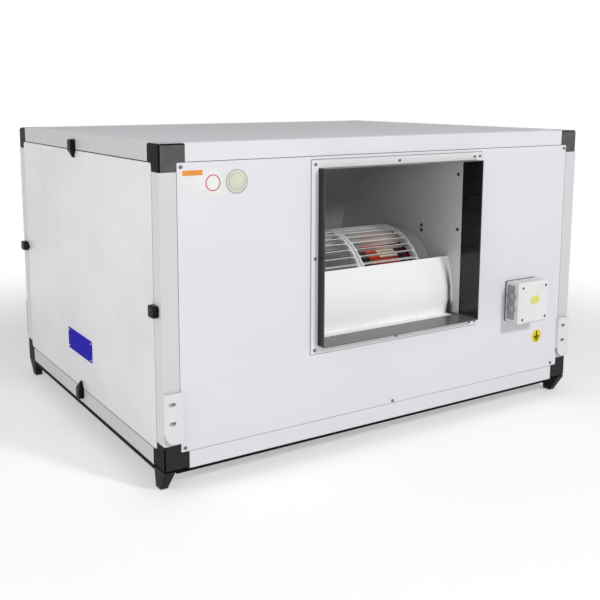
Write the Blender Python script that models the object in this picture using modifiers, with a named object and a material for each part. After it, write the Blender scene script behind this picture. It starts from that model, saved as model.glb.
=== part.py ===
"""Ceiling evaporative cooler: a framed, panelled cabinet with a double-inlet blower
behind its front outlet and a cellulose pad across its rear.

Metres, +Z up. X runs along the outlet face, Y from that face to the pad, and the
origin is at the centre of the whole object's box, on the plane that the feet stand on.
"""

import math

import bmesh
import bpy
from mathutils import Matrix, Vector

# Cabinet
CABINET_WIDTH = 1.070
CABINET_DEPTH = 0.856
CABINET_HEIGHT = 0.600
SEAT_GAP = 0.0003

# Frame members and panels
PROFILE_FACE = 0.033
PROFILE_SIZE = 0.050
PROFILE_WALL = 0.002
PANEL_THICKNESS = 0.025
PANEL_GAP = 0.0010
ACCESS_GAP = 0.0020
ACCESS_CORNER = 0.006

# Corner blocks and feet
BLOCK_BEVEL = 0.003
SPIGOT_LENGTH = 0.030
FOOT_HEIGHT = 0.042
FOOT_WIDTH = 0.023
FOOT_LENGTH = 0.050
FOOT_INSET = 0.002
FOOT_SOLE_WIDTH = 0.016
FOOT_SOLE_LENGTH = 0.021
FOOT_BEVEL = 0.0015

# Air outlet in the front panel
OUTLET_LEFT = -0.201
OUTLET_WIDTH = 0.416
OUTLET_FROM_TOP = 0.057
OUTLET_HEIGHT = 0.353
SHEET = 0.0015
SLEEVE_PROUD = 0.022
SLEEVE_DEPTH = 0.038
FLANGE_WIDTH = 0.016

# Fan wheel
WHEEL_RADIUS = 0.145
WHEEL_WIDTH = 0.334
WHEEL_SETBACK = 0.253
BLADE_COUNT = 44
BLADE_DEPTH = 0.026
BLADE_THICKNESS = 0.0012
BLADE_LEAN = math.radians(10)
BLADE_CURL = 1.6
BLADE_STATIONS = 4
RING_THICKNESS = 0.005
RING_RIM = 0.0015
CENTRE_RIM_WIDTH = 0.016
CENTRE_GROOVE_WIDTH = 0.004
CENTRE_GROOVE_DEPTH = 0.005
DISC_THICKNESS = 0.003
HUB_RADIUS = 0.024
HUB_LEFT = 0.020
HUB_RIGHT = 0.018
WHEEL_STEPS = 48

# Blower housing
SCROLL_RADIUS = 0.194
PLATE_LIP = 0.004
CUTOFF_RISE = 0.090
CUTOFF_HEM = 0.010
HEM_THICKNESS = 0.003
SCROLL_STEP = math.radians(9)
PLATE_THICKNESS = 0.002
INLET_RADIUS = 0.116
INLET_MOUTH_RADIUS = 0.134
INLET_RUN_GAP = 0.008
INLET_STEPS = 48

# Motor inside the wheel's right half
SHAFT_RADIUS = 0.0095
SHAFT_RUN_GAP = 0.00006
SHAFT_IN_MOTOR = 0.016
MOTOR_RADIUS = 0.068
MOTOR_FRONT_GAP = 0.010
MOTOR_END = 0.222
MOTOR_BELL = 0.012
MOTOR_BORE_ROOM = 0.001
MOTOR_STEPS = 40
SPIDER_ARMS = 3
SPIDER_RING = 0.012
SPIDER_ARM_WIDTH = 0.030
SPIDER_REACH = 0.158
SPIDER_THICKNESS = 0.004

# Junction box on the front panel
JUNCTION_CENTRE_Z = 0.215
JUNCTION_SIDE = 0.096
JUNCTION_DEPTH = 0.045
JUNCTION_COVER = 0.010
JUNCTION_BEVEL = 0.004
KNOCKOUT_RADIUS = 0.0115
KNOCKOUT_RISE = 0.0015
KNOCKOUT_BORE_RADIUS = 0.0060
KNOCKOUT_PITCH = 0.029
KNOCKOUT_STEPS = 20

# Slotted brackets on the posts
BRACKET_WIDTH = 0.036
BRACKET_BOTTOM = 0.055
BRACKET_HEIGHT = 0.096
BRACKET_STANDOFF = 0.007
BRACKET_SHEET = 0.002
BRACKET_CORNER = 0.020
SLOT_LENGTH = 0.014
SLOT_WIDTH = 0.007
SLOT_INSET = 0.0145
SLOT_HEIGHTS = (0.040, 0.0765)

# Panel lock knobs
KNOB_EDGE = 0.011
KNOB_WIDTH = 0.022
KNOB_LENGTH = 0.040
KNOB_SHOULDER = 0.024
KNOB_CORNER = 0.006
KNOB_TIP_RADIUS = 0.005
KNOB_THICK = 0.0115
KNOB_THIN = 0.004
KNOB_BEVEL = 0.0012
KNOB_SHIFT = 0.012

# Rear cellulose pad
PAD_THICKNESS = 0.100
PAD_FRAME_BORDER = 0.030

# Shape of curved and merged meshes
MERGE = 0.000001
SMOOTH_ANGLE = math.radians(35)
CORNER_POINTS = 4
ROUND_POINTS = 6

HALF_W = CABINET_WIDTH / 2
HALF_D = CABINET_DEPTH / 2
FRONT = -HALF_D
OUTLET_TOP = CABINET_HEIGHT - OUTLET_FROM_TOP
OUTLET_BOTTOM = OUTLET_TOP - OUTLET_HEIGHT
OUTLET_RIGHT = OUTLET_LEFT + OUTLET_WIDTH
WHEEL_Y = FRONT + WHEEL_SETBACK
HOUSING_LEFT = OUTLET_LEFT + SHEET
HOUSING_RIGHT = OUTLET_RIGHT - SHEET
HOUSING_FRONT = FRONT + SLEEVE_DEPTH + SEAT_GAP
JUNCTION_CENTRE_X = (OUTLET_RIGHT + FLANGE_WIDTH + HALF_W - PROFILE_FACE) / 2

FRONT_PROUD = max(SLEEVE_PROUD, JUNCTION_DEPTH, BRACKET_STANDOFF)
REAR_PROUD = BRACKET_STANDOFF
CENTRE_SHIFT = (FRONT_PROUD - REAR_PROUD) / 2


def scroll_fit():
    """The spiral's growth a radian and the wheel's height, at which the housing's lip
    rests on the floor panel and its spiral ends level with the outlet's top."""
    growth = 0.0
    height = 0.0
    for _ in range(20):
        lean = math.atan(growth)
        lowest = SCROLL_RADIUS * math.exp(growth * lean) * math.cos(lean)
        height = PANEL_THICKNESS + SEAT_GAP + PLATE_LIP + SHEET + lowest
        growth = math.log((OUTLET_TOP - SHEET - height) / SCROLL_RADIUS) / math.pi
    return growth, height


SCROLL_GROWTH, WHEEL_Z = scroll_fit()
CUTOFF_HEIGHT = WHEEL_Z + CUTOFF_RISE

MATERIALS = {
    "white_profile": ((0.80, 0.80, 0.82), 0.35, 0.0),
    "white_panel": ((0.78, 0.78, 0.82), 0.30, 0.0),
    "black_plastic": ((0.02, 0.02, 0.022), 0.45, 0.0),
    "galvanised_sheet": ((0.55, 0.56, 0.57), 0.40, 0.9),
    "dark_lining": ((0.03, 0.03, 0.033), 0.55, 0.0),
    "white_sheet": ((0.80, 0.80, 0.80), 0.30, 0.1),
    "motor_enamel": ((0.45, 0.09, 0.04), 0.45, 0.2),
    "bright_steel": ((0.62, 0.62, 0.63), 0.25, 1.0),
    "junction_plastic": ((0.75, 0.76, 0.77), 0.45, 0.0),
    "cellulose": ((0.42, 0.28, 0.15), 0.85, 0.0),
}

PARTS = bpy.data.collections.new("ceiling_evaporative_cooler")
CUTTERS = bpy.data.collections.new("cutters")


def clear_scene():
    for obj in list(bpy.data.objects):
        bpy.data.objects.remove(obj, do_unlink=True)
    for collection in (PARTS, CUTTERS):
        bpy.context.scene.collection.children.link(collection)
    CUTTERS.hide_render = True


def material(slot):
    """The Principled material of a slot, made the first time it is asked for."""
    found = bpy.data.materials.get(slot)
    if found:
        return found
    colour, roughness, metallic = MATERIALS[slot]
    made = bpy.data.materials.new(slot)
    made.use_nodes = True
    shader = made.node_tree.nodes["Principled BSDF"]
    shader.inputs["Base Color"].default_value = (*colour, 1.0)
    shader.inputs["Roughness"].default_value = roughness
    shader.inputs["Metallic"].default_value = metallic
    return made


def empty(name, location, parent=None):
    obj = bpy.data.objects.new(name, None)
    obj.location = location
    obj.parent = parent
    PARTS.objects.link(obj)
    return obj


def mesh_from(bm, name):
    """A mesh of the bmesh with its faces turned outwards."""
    bmesh.ops.recalc_face_normals(bm, faces=bm.faces)
    mesh = bpy.data.meshes.new(name)
    bm.to_mesh(mesh)
    bm.free()
    return mesh


def place(name, mesh, slot, parent, location=(0, 0, 0), smooth=False):
    """One named piece in the cooler's collection."""
    mesh.name = name
    mesh.materials.clear()
    mesh.materials.append(material(slot))
    if smooth:
        mesh.shade_smooth()
        mesh.set_sharp_from_angle(angle=SMOOTH_ANGLE)
    obj = bpy.data.objects.new(name, mesh)
    obj.location = location
    obj.parent = parent
    PARTS.objects.link(obj)
    return obj


def evaluated_mesh(obj):
    """The object's mesh with its modifiers applied, its loose seams welded."""
    bpy.context.view_layer.update()
    graph = bpy.context.evaluated_depsgraph_get()
    mesh = bpy.data.meshes.new_from_object(obj.evaluated_get(graph))
    bpy.data.objects.remove(obj)
    bm = bmesh.new()
    bm.from_mesh(mesh)
    bmesh.ops.remove_doubles(bm, verts=bm.verts, dist=MERGE)
    return mesh_from(bm, "evaluated")


def helper(name, data):
    """An object that is only an input of another, kept out of the model."""
    obj = bpy.data.objects.new(name, data)
    obj.hide_render = True
    CUTTERS.objects.link(obj)
    if obj.type == "MESH":
        obj.display_type = "WIRE"
    return obj


AXES = {"XY": (0, 1, 2), "XZ": (0, 2, 1), "YZ": (1, 2, 0)}


def flat_solid(outlines, plane, low, high):
    """Mesh of a flat outline in a plane, from low to high along the plane's normal.

    Outlines after the first are holes or further islands.
    """
    curve = bpy.data.curves.new("outline", "CURVE")
    curve.dimensions = "2D"
    curve.fill_mode = "BOTH"
    curve.extrude = (high - low) / 2
    for outline in outlines:
        spline = curve.splines.new("POLY")
        spline.points.add(len(outline) - 1)
        for point, (u, v) in zip(spline.points, outline):
            point.co = (u, v, 0, 1)
        spline.use_cyclic_u = True
    mesh = evaluated_mesh(helper("outline", curve))
    first, second, normal = AXES[plane]
    turn = Matrix.Diagonal((0, 0, 0, 1))
    turn[first][0] = 1
    turn[second][1] = 1
    turn[normal][2] = 1
    turn[normal][3] = (low + high) / 2
    bm = bmesh.new()
    bm.from_mesh(mesh)
    bmesh.ops.transform(bm, matrix=turn, verts=bm.verts)
    return mesh_from(bm, "flat")


def turned(profile, steps, closed=True):
    """Mesh of a profile of (x, radius) points turned about the X axis."""
    mesh = bpy.data.meshes.new("profile")
    count = len(profile)
    edges = [(i, (i + 1) % count) for i in range(count if closed else count - 1)]
    mesh.from_pydata([(x, 0, radius) for x, radius in profile], edges, [])
    obj = helper("profile", mesh)
    screw = obj.modifiers.new("turn", "SCREW")
    screw.axis = "X"
    screw.steps = steps
    screw.render_steps = steps
    screw.use_merge_vertices = True
    screw.merge_threshold = MERGE
    return evaluated_mesh(obj)


def box_mesh(low, high, bevel=0.0, segments=1):
    """Mesh of a box between two corners, with all its edges bevelled."""
    low, high = Vector(low), Vector(high)
    bm = bmesh.new()
    bmesh.ops.create_cube(bm, size=1.0)
    bmesh.ops.scale(bm, vec=high - low, verts=bm.verts)
    bmesh.ops.translate(bm, vec=(low + high) / 2, verts=bm.verts)
    if bevel:
        bmesh.ops.bevel(bm, geom=list(bm.edges), offset=bevel, segments=segments, affect="EDGES")
    return mesh_from(bm, "box")


def joined(*meshes):
    """One mesh that holds several, left as they are."""
    bm = bmesh.new()
    for mesh in meshes:
        bm.from_mesh(mesh)
    return mesh_from(bm, "joined")


def boolean(mesh, other, operation):
    """Mesh of one body united with another, or cut by it."""
    body = helper("body", mesh)
    tool = helper("tool", other)
    modifier = body.modifiers.new("boolean", "BOOLEAN")
    modifier.operation = operation
    modifier.solver = "EXACT"
    modifier.object = tool
    result = evaluated_mesh(body)
    bpy.data.objects.remove(tool)
    return result


def rectangle(left, right, low, high):
    return [(left, low), (right, low), (right, high), (left, high)]


def circle(centre, radius, count, start=0.0, turn=math.tau):
    """Points on an arc, or round a whole circle."""
    step = turn / (count if turn == math.tau else count - 1)
    return [
        (centre[0] + radius * math.cos(start + i * step), centre[1] + radius * math.sin(start + i * step))
        for i in range(count)
    ]


def slot_outline(centre, length, width):
    """A horizontal slot with round ends."""
    reach = (length - width) / 2
    right = circle((centre[0] + reach, centre[1]), width / 2, ROUND_POINTS, -math.pi / 2, math.pi)
    left = circle((centre[0] - reach, centre[1]), width / 2, ROUND_POINTS, math.pi / 2, math.pi)
    return right + left


def rounded(left, right, low, high, radius):
    """A rectangle with round corners."""
    corners = (
        (right - radius, low + radius, -math.pi / 2),
        (right - radius, high - radius, 0.0),
        (left + radius, high - radius, math.pi / 2),
        (left + radius, low + radius, math.pi),
    )
    outline = []
    for u, v, start in corners:
        outline += circle((u, v), radius, CORNER_POINTS, start, math.pi / 2)
    return outline


# Frame


def profile_outline():
    """A member's section, measured inwards from the cabinet's outer edge."""
    flange = PANEL_THICKNESS + PROFILE_WALL
    return [
        (0, 0),
        (PROFILE_FACE, 0),
        (PROFILE_FACE, PANEL_THICKNESS),
        (PROFILE_SIZE, PANEL_THICKNESS),
        (PROFILE_SIZE, flange),
        (flange, flange),
        (flange, PROFILE_SIZE),
        (PANEL_THICKNESS, PROFILE_SIZE),
        (PANEL_THICKNESS, PROFILE_FACE),
        (0, PROFILE_FACE),
    ]


def profile_hollow():
    """The member's tube, with its inner corner cut off to keep the wall."""
    far = PROFILE_FACE - PROFILE_WALL
    cut = 2 * (PANEL_THICKNESS - PROFILE_WALL / 2) - far + PROFILE_WALL
    return [(PROFILE_WALL, PROFILE_WALL), (far, PROFILE_WALL), (far, cut), (cut, far), (PROFILE_WALL, far)]


def frame_members(parent):
    """The twelve members between the corner blocks."""
    sides = {"x": (HALF_W, "YZ"), "y": (HALF_D, "XZ"), "z": (CABINET_HEIGHT / 2, "XY")}
    words = {
        "x": {("low", "low"): "bottom_rail_front", ("high", "low"): "bottom_rail_rear",
              ("low", "high"): "top_rail_front", ("high", "high"): "top_rail_rear"},
        "y": {("low", "low"): "bottom_rail_left", ("high", "low"): "bottom_rail_right",
              ("low", "high"): "top_rail_left", ("high", "high"): "top_rail_right"},
        "z": {("low", "low"): "post_front_left", ("high", "low"): "post_front_right",
              ("low", "high"): "post_rear_left", ("high", "high"): "post_rear_right"},
    }
    middle = {"x": 0.0, "y": 0.0, "z": CABINET_HEIGHT / 2}
    for axis, (half, plane) in sides.items():
        across = [name for name in "xyz" if name != axis]
        reach = half - PROFILE_SIZE - SEAT_GAP
        for ends, name in words[axis].items():
            signs = [1 if end == "low" else -1 for end in ends]
            outlines = [
                [(signs[0] * u, signs[1] * v) for u, v in outline]
                for outline in (profile_outline(), profile_hollow())
            ]
            location = dict(middle)
            for direction, sign in zip(across, signs):
                location[direction] = middle[direction] - sign * sides[direction][0]
            mesh = flat_solid(outlines, plane, -reach, reach)
            place(name, mesh, "white_profile", parent, tuple(location[d] for d in "xyz"))


def corner_block_mesh():
    """A three-way block: a cube with three prongs, each ending in a spigot for a member's tube."""
    bm = bmesh.new()
    bmesh.ops.create_cube(bm, size=PROFILE_FACE)
    bmesh.ops.translate(bm, vec=Vector((1, 1, 1)) * PROFILE_FACE / 2, verts=bm.verts)
    directions = (Vector((1, 0, 0)), Vector((0, 1, 0)), Vector((0, 0, 1)))
    for direction in directions:
        face = next(f for f in bm.faces if f.normal.dot(direction) > 0.9)
        made = bmesh.ops.extrude_discrete_faces(bm, faces=[face])
        bmesh.ops.translate(bm, vec=direction * (PROFILE_SIZE - PROFILE_FACE), verts=made["faces"][0].verts)
    outer = [
        edge for edge in bm.edges
        if sum(all(abs(vert.co[i]) < SEAT_GAP for vert in edge.verts) for i in range(3)) == 2
    ]
    bmesh.ops.bevel(bm, geom=outer, offset=BLOCK_BEVEL, segments=2, affect="EDGES")
    mesh = mesh_from(bm, "corner_block")
    near = PROFILE_WALL + SEAT_GAP
    far = PANEL_THICKNESS - PROFILE_WALL / 2 - SEAT_GAP
    for axis in range(3):
        low = [near, near, near]
        high = [far, far, far]
        low[axis] = PROFILE_FACE
        high[axis] = PROFILE_SIZE + SPIGOT_LENGTH
        mesh = boolean(mesh, box_mesh(low, high), "UNION")
    return mesh


def mirrored(mesh, signs):
    """A copy of a mesh, mirrored by a sign along each axis."""
    bm = bmesh.new()
    bm.from_mesh(mesh)
    bmesh.ops.scale(bm, vec=Vector(signs), verts=bm.verts)
    return mesh_from(bm, "mirrored")


def corner_blocks(parent):
    """Black blocks at the eight corners."""
    block = corner_block_mesh()
    for side, sx in (("left", 1), ("right", -1)):
        for end, sy in (("front", 1), ("rear", -1)):
            for level, sz in (("bottom", 1), ("top", -1)):
                place(
                    f"corner_block_{level}_{end}_{side}",
                    mirrored(block, (sx, sy, sz)),
                    "black_plastic",
                    parent,
                    (-sx * HALF_W, -sy * HALF_D, 0 if sz > 0 else CABINET_HEIGHT),
                )


def foot_mesh():
    """A foot whose front slants back to a short sole, measured from the cabinet's front left corner."""
    far = FOOT_LENGTH - FOOT_INSET
    top = ((0, FOOT_WIDTH), (0, FOOT_LENGTH), -SEAT_GAP)
    sole = ((FOOT_INSET, FOOT_INSET + FOOT_SOLE_WIDTH), (far - FOOT_SOLE_LENGTH, far), -FOOT_HEIGHT)
    bm = bmesh.new()
    bmesh.ops.create_cube(bm, size=1.0)
    for vert in bm.verts:
        across, along, height = top if vert.co.z > 0 else sole
        vert.co = (across[vert.co.x > 0], along[vert.co.y > 0], height)
    edges = [edge for edge in bm.edges if min(vert.co.z for vert in edge.verts) < -FOOT_HEIGHT / 2]
    bmesh.ops.bevel(bm, geom=edges, offset=FOOT_BEVEL, segments=1, affect="EDGES")
    return mesh_from(bm, "foot")


def feet(parent):
    """Tapered feet under the bottom corner blocks."""
    foot = foot_mesh()
    for side, sx in (("left", 1), ("right", -1)):
        for end, sy in (("front", 1), ("rear", -1)):
            mesh = mirrored(foot, (sx, sy, 1))
            place(f"foot_{end}_{side}", mesh, "black_plastic", parent, (-sx * HALF_W, -sy * HALF_D, 0))


# Panels


def panels(parent):
    """Five insulated panels that lie in the members' rebates."""
    edge = PROFILE_FACE + PANEL_GAP
    depth = PANEL_THICKNESS - SEAT_GAP
    top = CABINET_HEIGHT
    level = rectangle(edge - HALF_W, HALF_W - edge, edge - HALF_D, HALF_D - edge)
    place("floor_panel", flat_solid([level], "XY", 0, depth), "white_panel", parent)
    place("roof_panel", flat_solid([level], "XY", -depth, 0), "white_panel", parent, (0, 0, top))
    front = [rectangle(edge - HALF_W, HALF_W - edge, edge, top - edge), outlet_rectangle(SEAT_GAP)]
    place("front_panel", flat_solid(front, "XZ", 0, depth), "white_panel", parent, (0, FRONT, 0))
    edge = PROFILE_FACE + ACCESS_GAP
    door = rounded(edge - HALF_D, HALF_D - edge, edge, top - edge, ACCESS_CORNER)
    left = flat_solid([door], "YZ", 0, depth)
    place("access_panel_left", left, "white_panel", parent, (-HALF_W, 0, 0))
    right = flat_solid([door], "YZ", -depth, 0)
    place("access_panel_right", right, "white_panel", parent, (HALF_W, 0, 0))


# Air outlet


def outlet_rectangle(margin):
    """The sleeve's outer outline, grown by a margin."""
    return rectangle(
        OUTLET_LEFT - margin,
        OUTLET_RIGHT + margin,
        OUTLET_BOTTOM - margin,
        OUTLET_TOP + margin,
    )


def air_outlet(parent):
    """A sheet sleeve through the front panel and the flange that holds it."""
    sleeve = flat_solid([outlet_rectangle(0), outlet_rectangle(-SHEET)], "XZ", -SLEEVE_PROUD, SLEEVE_DEPTH)
    place("outlet_sleeve", sleeve, "dark_lining", parent, (0, FRONT, 0))
    outlines = [outlet_rectangle(FLANGE_WIDTH), outlet_rectangle(SEAT_GAP)]
    flange = flat_solid(outlines, "XZ", -SHEET - SEAT_GAP, -SEAT_GAP)
    place("outlet_flange", flange, "white_sheet", parent, (0, FRONT, 0))


# Blower


def scroll_point(angle, offset=0.0):
    """A point on the scroll, its angle measured from the top towards the front."""
    radius = SCROLL_RADIUS
    if angle > math.pi:
        radius *= math.exp(SCROLL_GROWTH * (angle - math.pi))
    radius += offset
    return (-radius * math.sin(angle), radius * math.cos(angle))


def scroll_run(start, end, offset=0.0):
    """Points along the scroll from one angle to another."""
    count = max(2, round(abs(end - start) / SCROLL_STEP))
    return [scroll_point(start + (end - start) * i / count, offset) for i in range(count + 1)]


def angle_at_height(height, radius):
    """The angle at which a circle round the axis stands at a height in the cabinet."""
    return math.acos((height - WHEEL_Z) / radius)


def blower_wrapper_mesh():
    """The curled sheet, from the cut-off edge round the wheel to the outlet's top."""
    mouth = HOUSING_FRONT - WHEEL_Y
    outlet_floor = OUTLET_BOTTOM + SHEET
    tip = angle_at_height(CUTOFF_HEIGHT, SCROLL_RADIUS)
    hem_end = tip + CUTOFF_HEM / SCROLL_RADIUS
    floor_top = angle_at_height(outlet_floor, SCROLL_RADIUS + SHEET)
    floor_under = angle_at_height(outlet_floor - SHEET, SCROLL_RADIUS + SHEET)
    outline = [scroll_point(tip, HEM_THICKNESS), scroll_point(hem_end, HEM_THICKNESS)]
    outline += scroll_run(hem_end, floor_top, SHEET)
    outline += [(mouth, outlet_floor - WHEEL_Z), (mouth, outlet_floor - SHEET - WHEEL_Z)]
    outline += scroll_run(floor_under, math.tau, SHEET)
    outline += [(mouth, OUTLET_TOP - WHEEL_Z), (mouth, OUTLET_TOP - SHEET - WHEEL_Z)]
    outline += scroll_run(math.tau, tip)
    return flat_solid([outline], "YZ", HOUSING_LEFT + SEAT_GAP, HOUSING_RIGHT - SEAT_GAP)


def blower_side_mesh(sign):
    """A side plate with its spun inlet, on the side that sign names, about the wheel's centre."""
    lip = SHEET + PLATE_LIP
    mouth = HOUSING_FRONT - WHEEL_Y
    bottom = OUTLET_BOTTOM - PLATE_LIP
    start = angle_at_height(bottom, SCROLL_RADIUS + lip)
    outline = [(mouth, OUTLET_TOP + PLATE_LIP - WHEEL_Z), (mouth, bottom - WHEEL_Z)]
    outline += scroll_run(start, math.tau, lip)
    hole = circle((0, 0), INLET_MOUTH_RADIUS - PLATE_THICKNESS, INLET_STEPS)
    inner_face = (HOUSING_RIGHT - HOUSING_LEFT) / 2
    low, high = sorted((sign * inner_face, sign * (inner_face + PLATE_THICKNESS)))
    plate = flat_solid([outline, hole], "YZ", low, high)
    throat = WHEEL_WIDTH / 2 + INLET_RUN_GAP
    bend = (throat + inner_face) / 2
    profile = [
        (throat, INLET_RADIUS),
        (throat, INLET_RADIUS - PLATE_THICKNESS),
        (bend, INLET_RADIUS - PLATE_THICKNESS),
        (inner_face + PLATE_THICKNESS, INLET_MOUTH_RADIUS - 2 * PLATE_THICKNESS),
        (inner_face + PLATE_THICKNESS, INLET_MOUTH_RADIUS + PLATE_THICKNESS),
        (inner_face, INLET_MOUTH_RADIUS + PLATE_THICKNESS),
        (bend, INLET_RADIUS),
    ]
    cone = turned([(sign * x, radius) for x, radius in profile], INLET_STEPS)
    return boolean(plate, cone, "UNION")


def blade_outline(index):
    """A forward-curved blade's section: its tip leans the way the wheel turns."""
    inner = WHEEL_RADIUS - RING_RIM - BLADE_DEPTH
    root = math.tau * index / BLADE_COUNT
    middle = []
    for station in range(BLADE_STATIONS):
        share = station / (BLADE_STATIONS - 1)
        angle = root + BLADE_LEAN * share**BLADE_CURL
        radius = inner + BLADE_DEPTH * share
        middle.append(Vector((-radius * math.sin(angle), radius * math.cos(angle))))
    sides = ([], [])
    for station, point in enumerate(middle):
        before = middle[max(station - 1, 0)]
        after = middle[min(station + 1, BLADE_STATIONS - 1)]
        along = (after - before).normalized()
        normal = Vector((-along.y, along.x)) * BLADE_THICKNESS / 2
        sides[0].append(tuple(point + normal))
        sides[1].append(tuple(point - normal))
    return sides[0] + sides[1][::-1]


def fan_wheel_mesh():
    """Blades in two rows, two end rings and a centre disc with its grooved rim and hub."""
    half = WHEEL_WIDTH / 2
    inner = WHEEL_RADIUS - BLADE_DEPTH - 2 * RING_RIM
    bore = (SHAFT_RADIUS + SEAT_GAP) / math.cos(math.pi / WHEEL_STEPS)
    rim = CENTRE_RIM_WIDTH / 2
    groove = CENTRE_GROOVE_WIDTH / 2
    floor = WHEEL_RADIUS - CENTRE_GROOVE_DEPTH
    disc = DISC_THICKNESS / 2
    centre = [
        (-HUB_LEFT, bore), (-HUB_LEFT, HUB_RADIUS), (-disc, HUB_RADIUS), (-disc, inner),
        (-rim, inner), (-rim, WHEEL_RADIUS), (-groove, WHEEL_RADIUS), (-groove, floor),
        (groove, floor), (groove, WHEEL_RADIUS), (rim, WHEEL_RADIUS), (rim, inner),
        (disc, inner), (disc, HUB_RADIUS), (HUB_RIGHT, HUB_RADIUS), (HUB_RIGHT, bore),
    ]
    bodies = [turned(centre, WHEEL_STEPS)]
    for sign in (-1, 1):
        ring = rectangle(half - RING_THICKNESS, half, inner, WHEEL_RADIUS)
        bodies.append(turned([(sign * x, radius) for x, radius in ring], WHEEL_STEPS))
    outlines = [blade_outline(i) for i in range(BLADE_COUNT)]
    blade_start = rim - (rim - groove) / 2
    blade_end = half - RING_THICKNESS / 2
    rows = [flat_solid(outlines, "YZ", *sorted((sign * blade_start, sign * blade_end))) for sign in (-1, 1)]
    return boolean(joined(*bodies), joined(*rows), "UNION")


def motor_mesh():
    """A closed motor body with a bore for its shaft and a stepped end bell."""
    start = HUB_RIGHT + MOTOR_FRONT_GAP
    bore = (SHAFT_RADIUS + SHAFT_RUN_GAP) / math.cos(math.pi / MOTOR_STEPS)
    bore_end = start + SHAFT_IN_MOTOR + MOTOR_BORE_ROOM
    boss = 2 * SHAFT_RADIUS
    boss_end = start + MOTOR_BELL / 2
    profile = [
        (bore_end, 0), (bore_end, bore), (start, bore), (start, boss), (boss_end, boss),
        (boss_end, MOTOR_RADIUS - MOTOR_BELL), (boss_end + MOTOR_BELL, MOTOR_RADIUS),
        (MOTOR_END - MOTOR_BELL, MOTOR_RADIUS), (MOTOR_END, MOTOR_RADIUS - MOTOR_BELL), (MOTOR_END, 0),
    ]
    return turned(profile, MOTOR_STEPS, closed=False)


def motor_spider_mesh():
    """A ring round the motor with arms that bolt to the right side plate."""
    low = (HOUSING_RIGHT - HOUSING_LEFT) / 2 + PLATE_THICKNESS + SEAT_GAP
    high = low + SPIDER_THICKNESS
    inner = (MOTOR_RADIUS + SEAT_GAP) / math.cos(math.pi / MOTOR_STEPS)
    middle = inner + SPIDER_RING / 2
    half = SPIDER_ARM_WIDTH / 2
    ring = [circle((0, 0), inner + SPIDER_RING, MOTOR_STEPS), circle((0, 0), inner, MOTOR_STEPS)]
    mesh = flat_solid(ring, "YZ", low, high)
    for arm in range(SPIDER_ARMS):
        bar = flat_solid([rectangle(-half, half, middle, SPIDER_REACH)], "YZ", low, high)
        bar.transform(Matrix.Rotation(math.tau * arm / SPIDER_ARMS, 4, "X"))
        mesh = boolean(mesh, bar, "UNION")
    return mesh


def blower(parent):
    """The housing, wheel and motor on one axis, and the empty that the wheel turns about."""
    centre = ((HOUSING_LEFT + HOUSING_RIGHT) / 2, WHEEL_Y, WHEEL_Z)
    axis = empty("fan_axis", centre, parent)
    wrapper = blower_wrapper_mesh()
    place("blower_wrapper", wrapper, "white_sheet", parent, (0, WHEEL_Y, WHEEL_Z), smooth=True)
    for side, sign in (("left", -1), ("right", 1)):
        mesh = blower_side_mesh(sign)
        place(f"blower_side_{side}", mesh, "white_sheet", parent, centre, smooth=True)
    place("fan_wheel", fan_wheel_mesh(), "white_sheet", axis, smooth=True)
    end = HUB_RIGHT + MOTOR_FRONT_GAP + SHAFT_IN_MOTOR
    profile = [(-HUB_LEFT, 0), (-HUB_LEFT, SHAFT_RADIUS), (end, SHAFT_RADIUS), (end, 0)]
    place("motor_shaft", turned(profile, MOTOR_STEPS, False), "bright_steel", axis, smooth=True)
    place("motor", motor_mesh(), "motor_enamel", parent, centre, smooth=True)
    place("motor_spider", motor_spider_mesh(), "galvanised_sheet", parent, centre)


# Fittings


def knockout_mesh(face, centre_z):
    """A raised ring with a shallow bore, on a side of the junction box at face."""
    rise = math.copysign(KNOCKOUT_RISE, face)
    inner = KNOCKOUT_BORE_RADIUS
    profile = [
        (face - rise, 0), (face - rise, KNOCKOUT_RADIUS), (face + rise, KNOCKOUT_RADIUS - KNOCKOUT_RISE),
        (face + rise, inner), (face + rise / 2, inner), (face + rise / 2, 0),
    ]
    mesh = turned(profile, KNOCKOUT_STEPS, closed=False)
    mesh.transform(Matrix.Translation((0, -JUNCTION_DEPTH / 2, centre_z)))
    return mesh


def junction_box(parent):
    """A square box with a pair of knockouts on each side, and its cover, on the front panel."""
    half = JUNCTION_SIDE / 2
    seam = JUNCTION_DEPTH - JUNCTION_COVER
    location = (JUNCTION_CENTRE_X, FRONT, JUNCTION_CENTRE_Z)
    side = half - JUNCTION_BEVEL / 2
    body = box_mesh((-side, -seam, -side), (side, -SEAT_GAP, side), JUNCTION_BEVEL / 2)
    for face in (-side, side):
        for centre_z in (-KNOCKOUT_PITCH / 2, KNOCKOUT_PITCH / 2):
            body = boolean(body, knockout_mesh(face, centre_z), "UNION")
    place("junction_box", body, "junction_plastic", parent, location)
    cover = box_mesh((-half, -JUNCTION_DEPTH, -half), (half, -seam - SEAT_GAP, half), JUNCTION_BEVEL)
    place("junction_box_cover", cover, "junction_plastic", parent, location)


def bracket_mesh():
    """A slotted plate with one rounded corner and a return that seats on the post."""
    corner = (BRACKET_CORNER, BRACKET_CORNER)
    outline = circle(corner, BRACKET_CORNER, ROUND_POINTS, math.pi, math.pi / 2)
    outline += [(BRACKET_WIDTH, 0), (BRACKET_WIDTH, BRACKET_HEIGHT), (0, BRACKET_HEIGHT)]
    slots = [slot_outline((SLOT_INSET, height), SLOT_LENGTH, SLOT_WIDTH) for height in SLOT_HEIGHTS]
    front = -BRACKET_STANDOFF
    plate = flat_solid([outline, *slots], "XZ", front, front + BRACKET_SHEET)
    left = box_mesh((0, front, BRACKET_CORNER), (BRACKET_SHEET, -SEAT_GAP, BRACKET_HEIGHT))
    return boolean(plate, left, "UNION")


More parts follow.
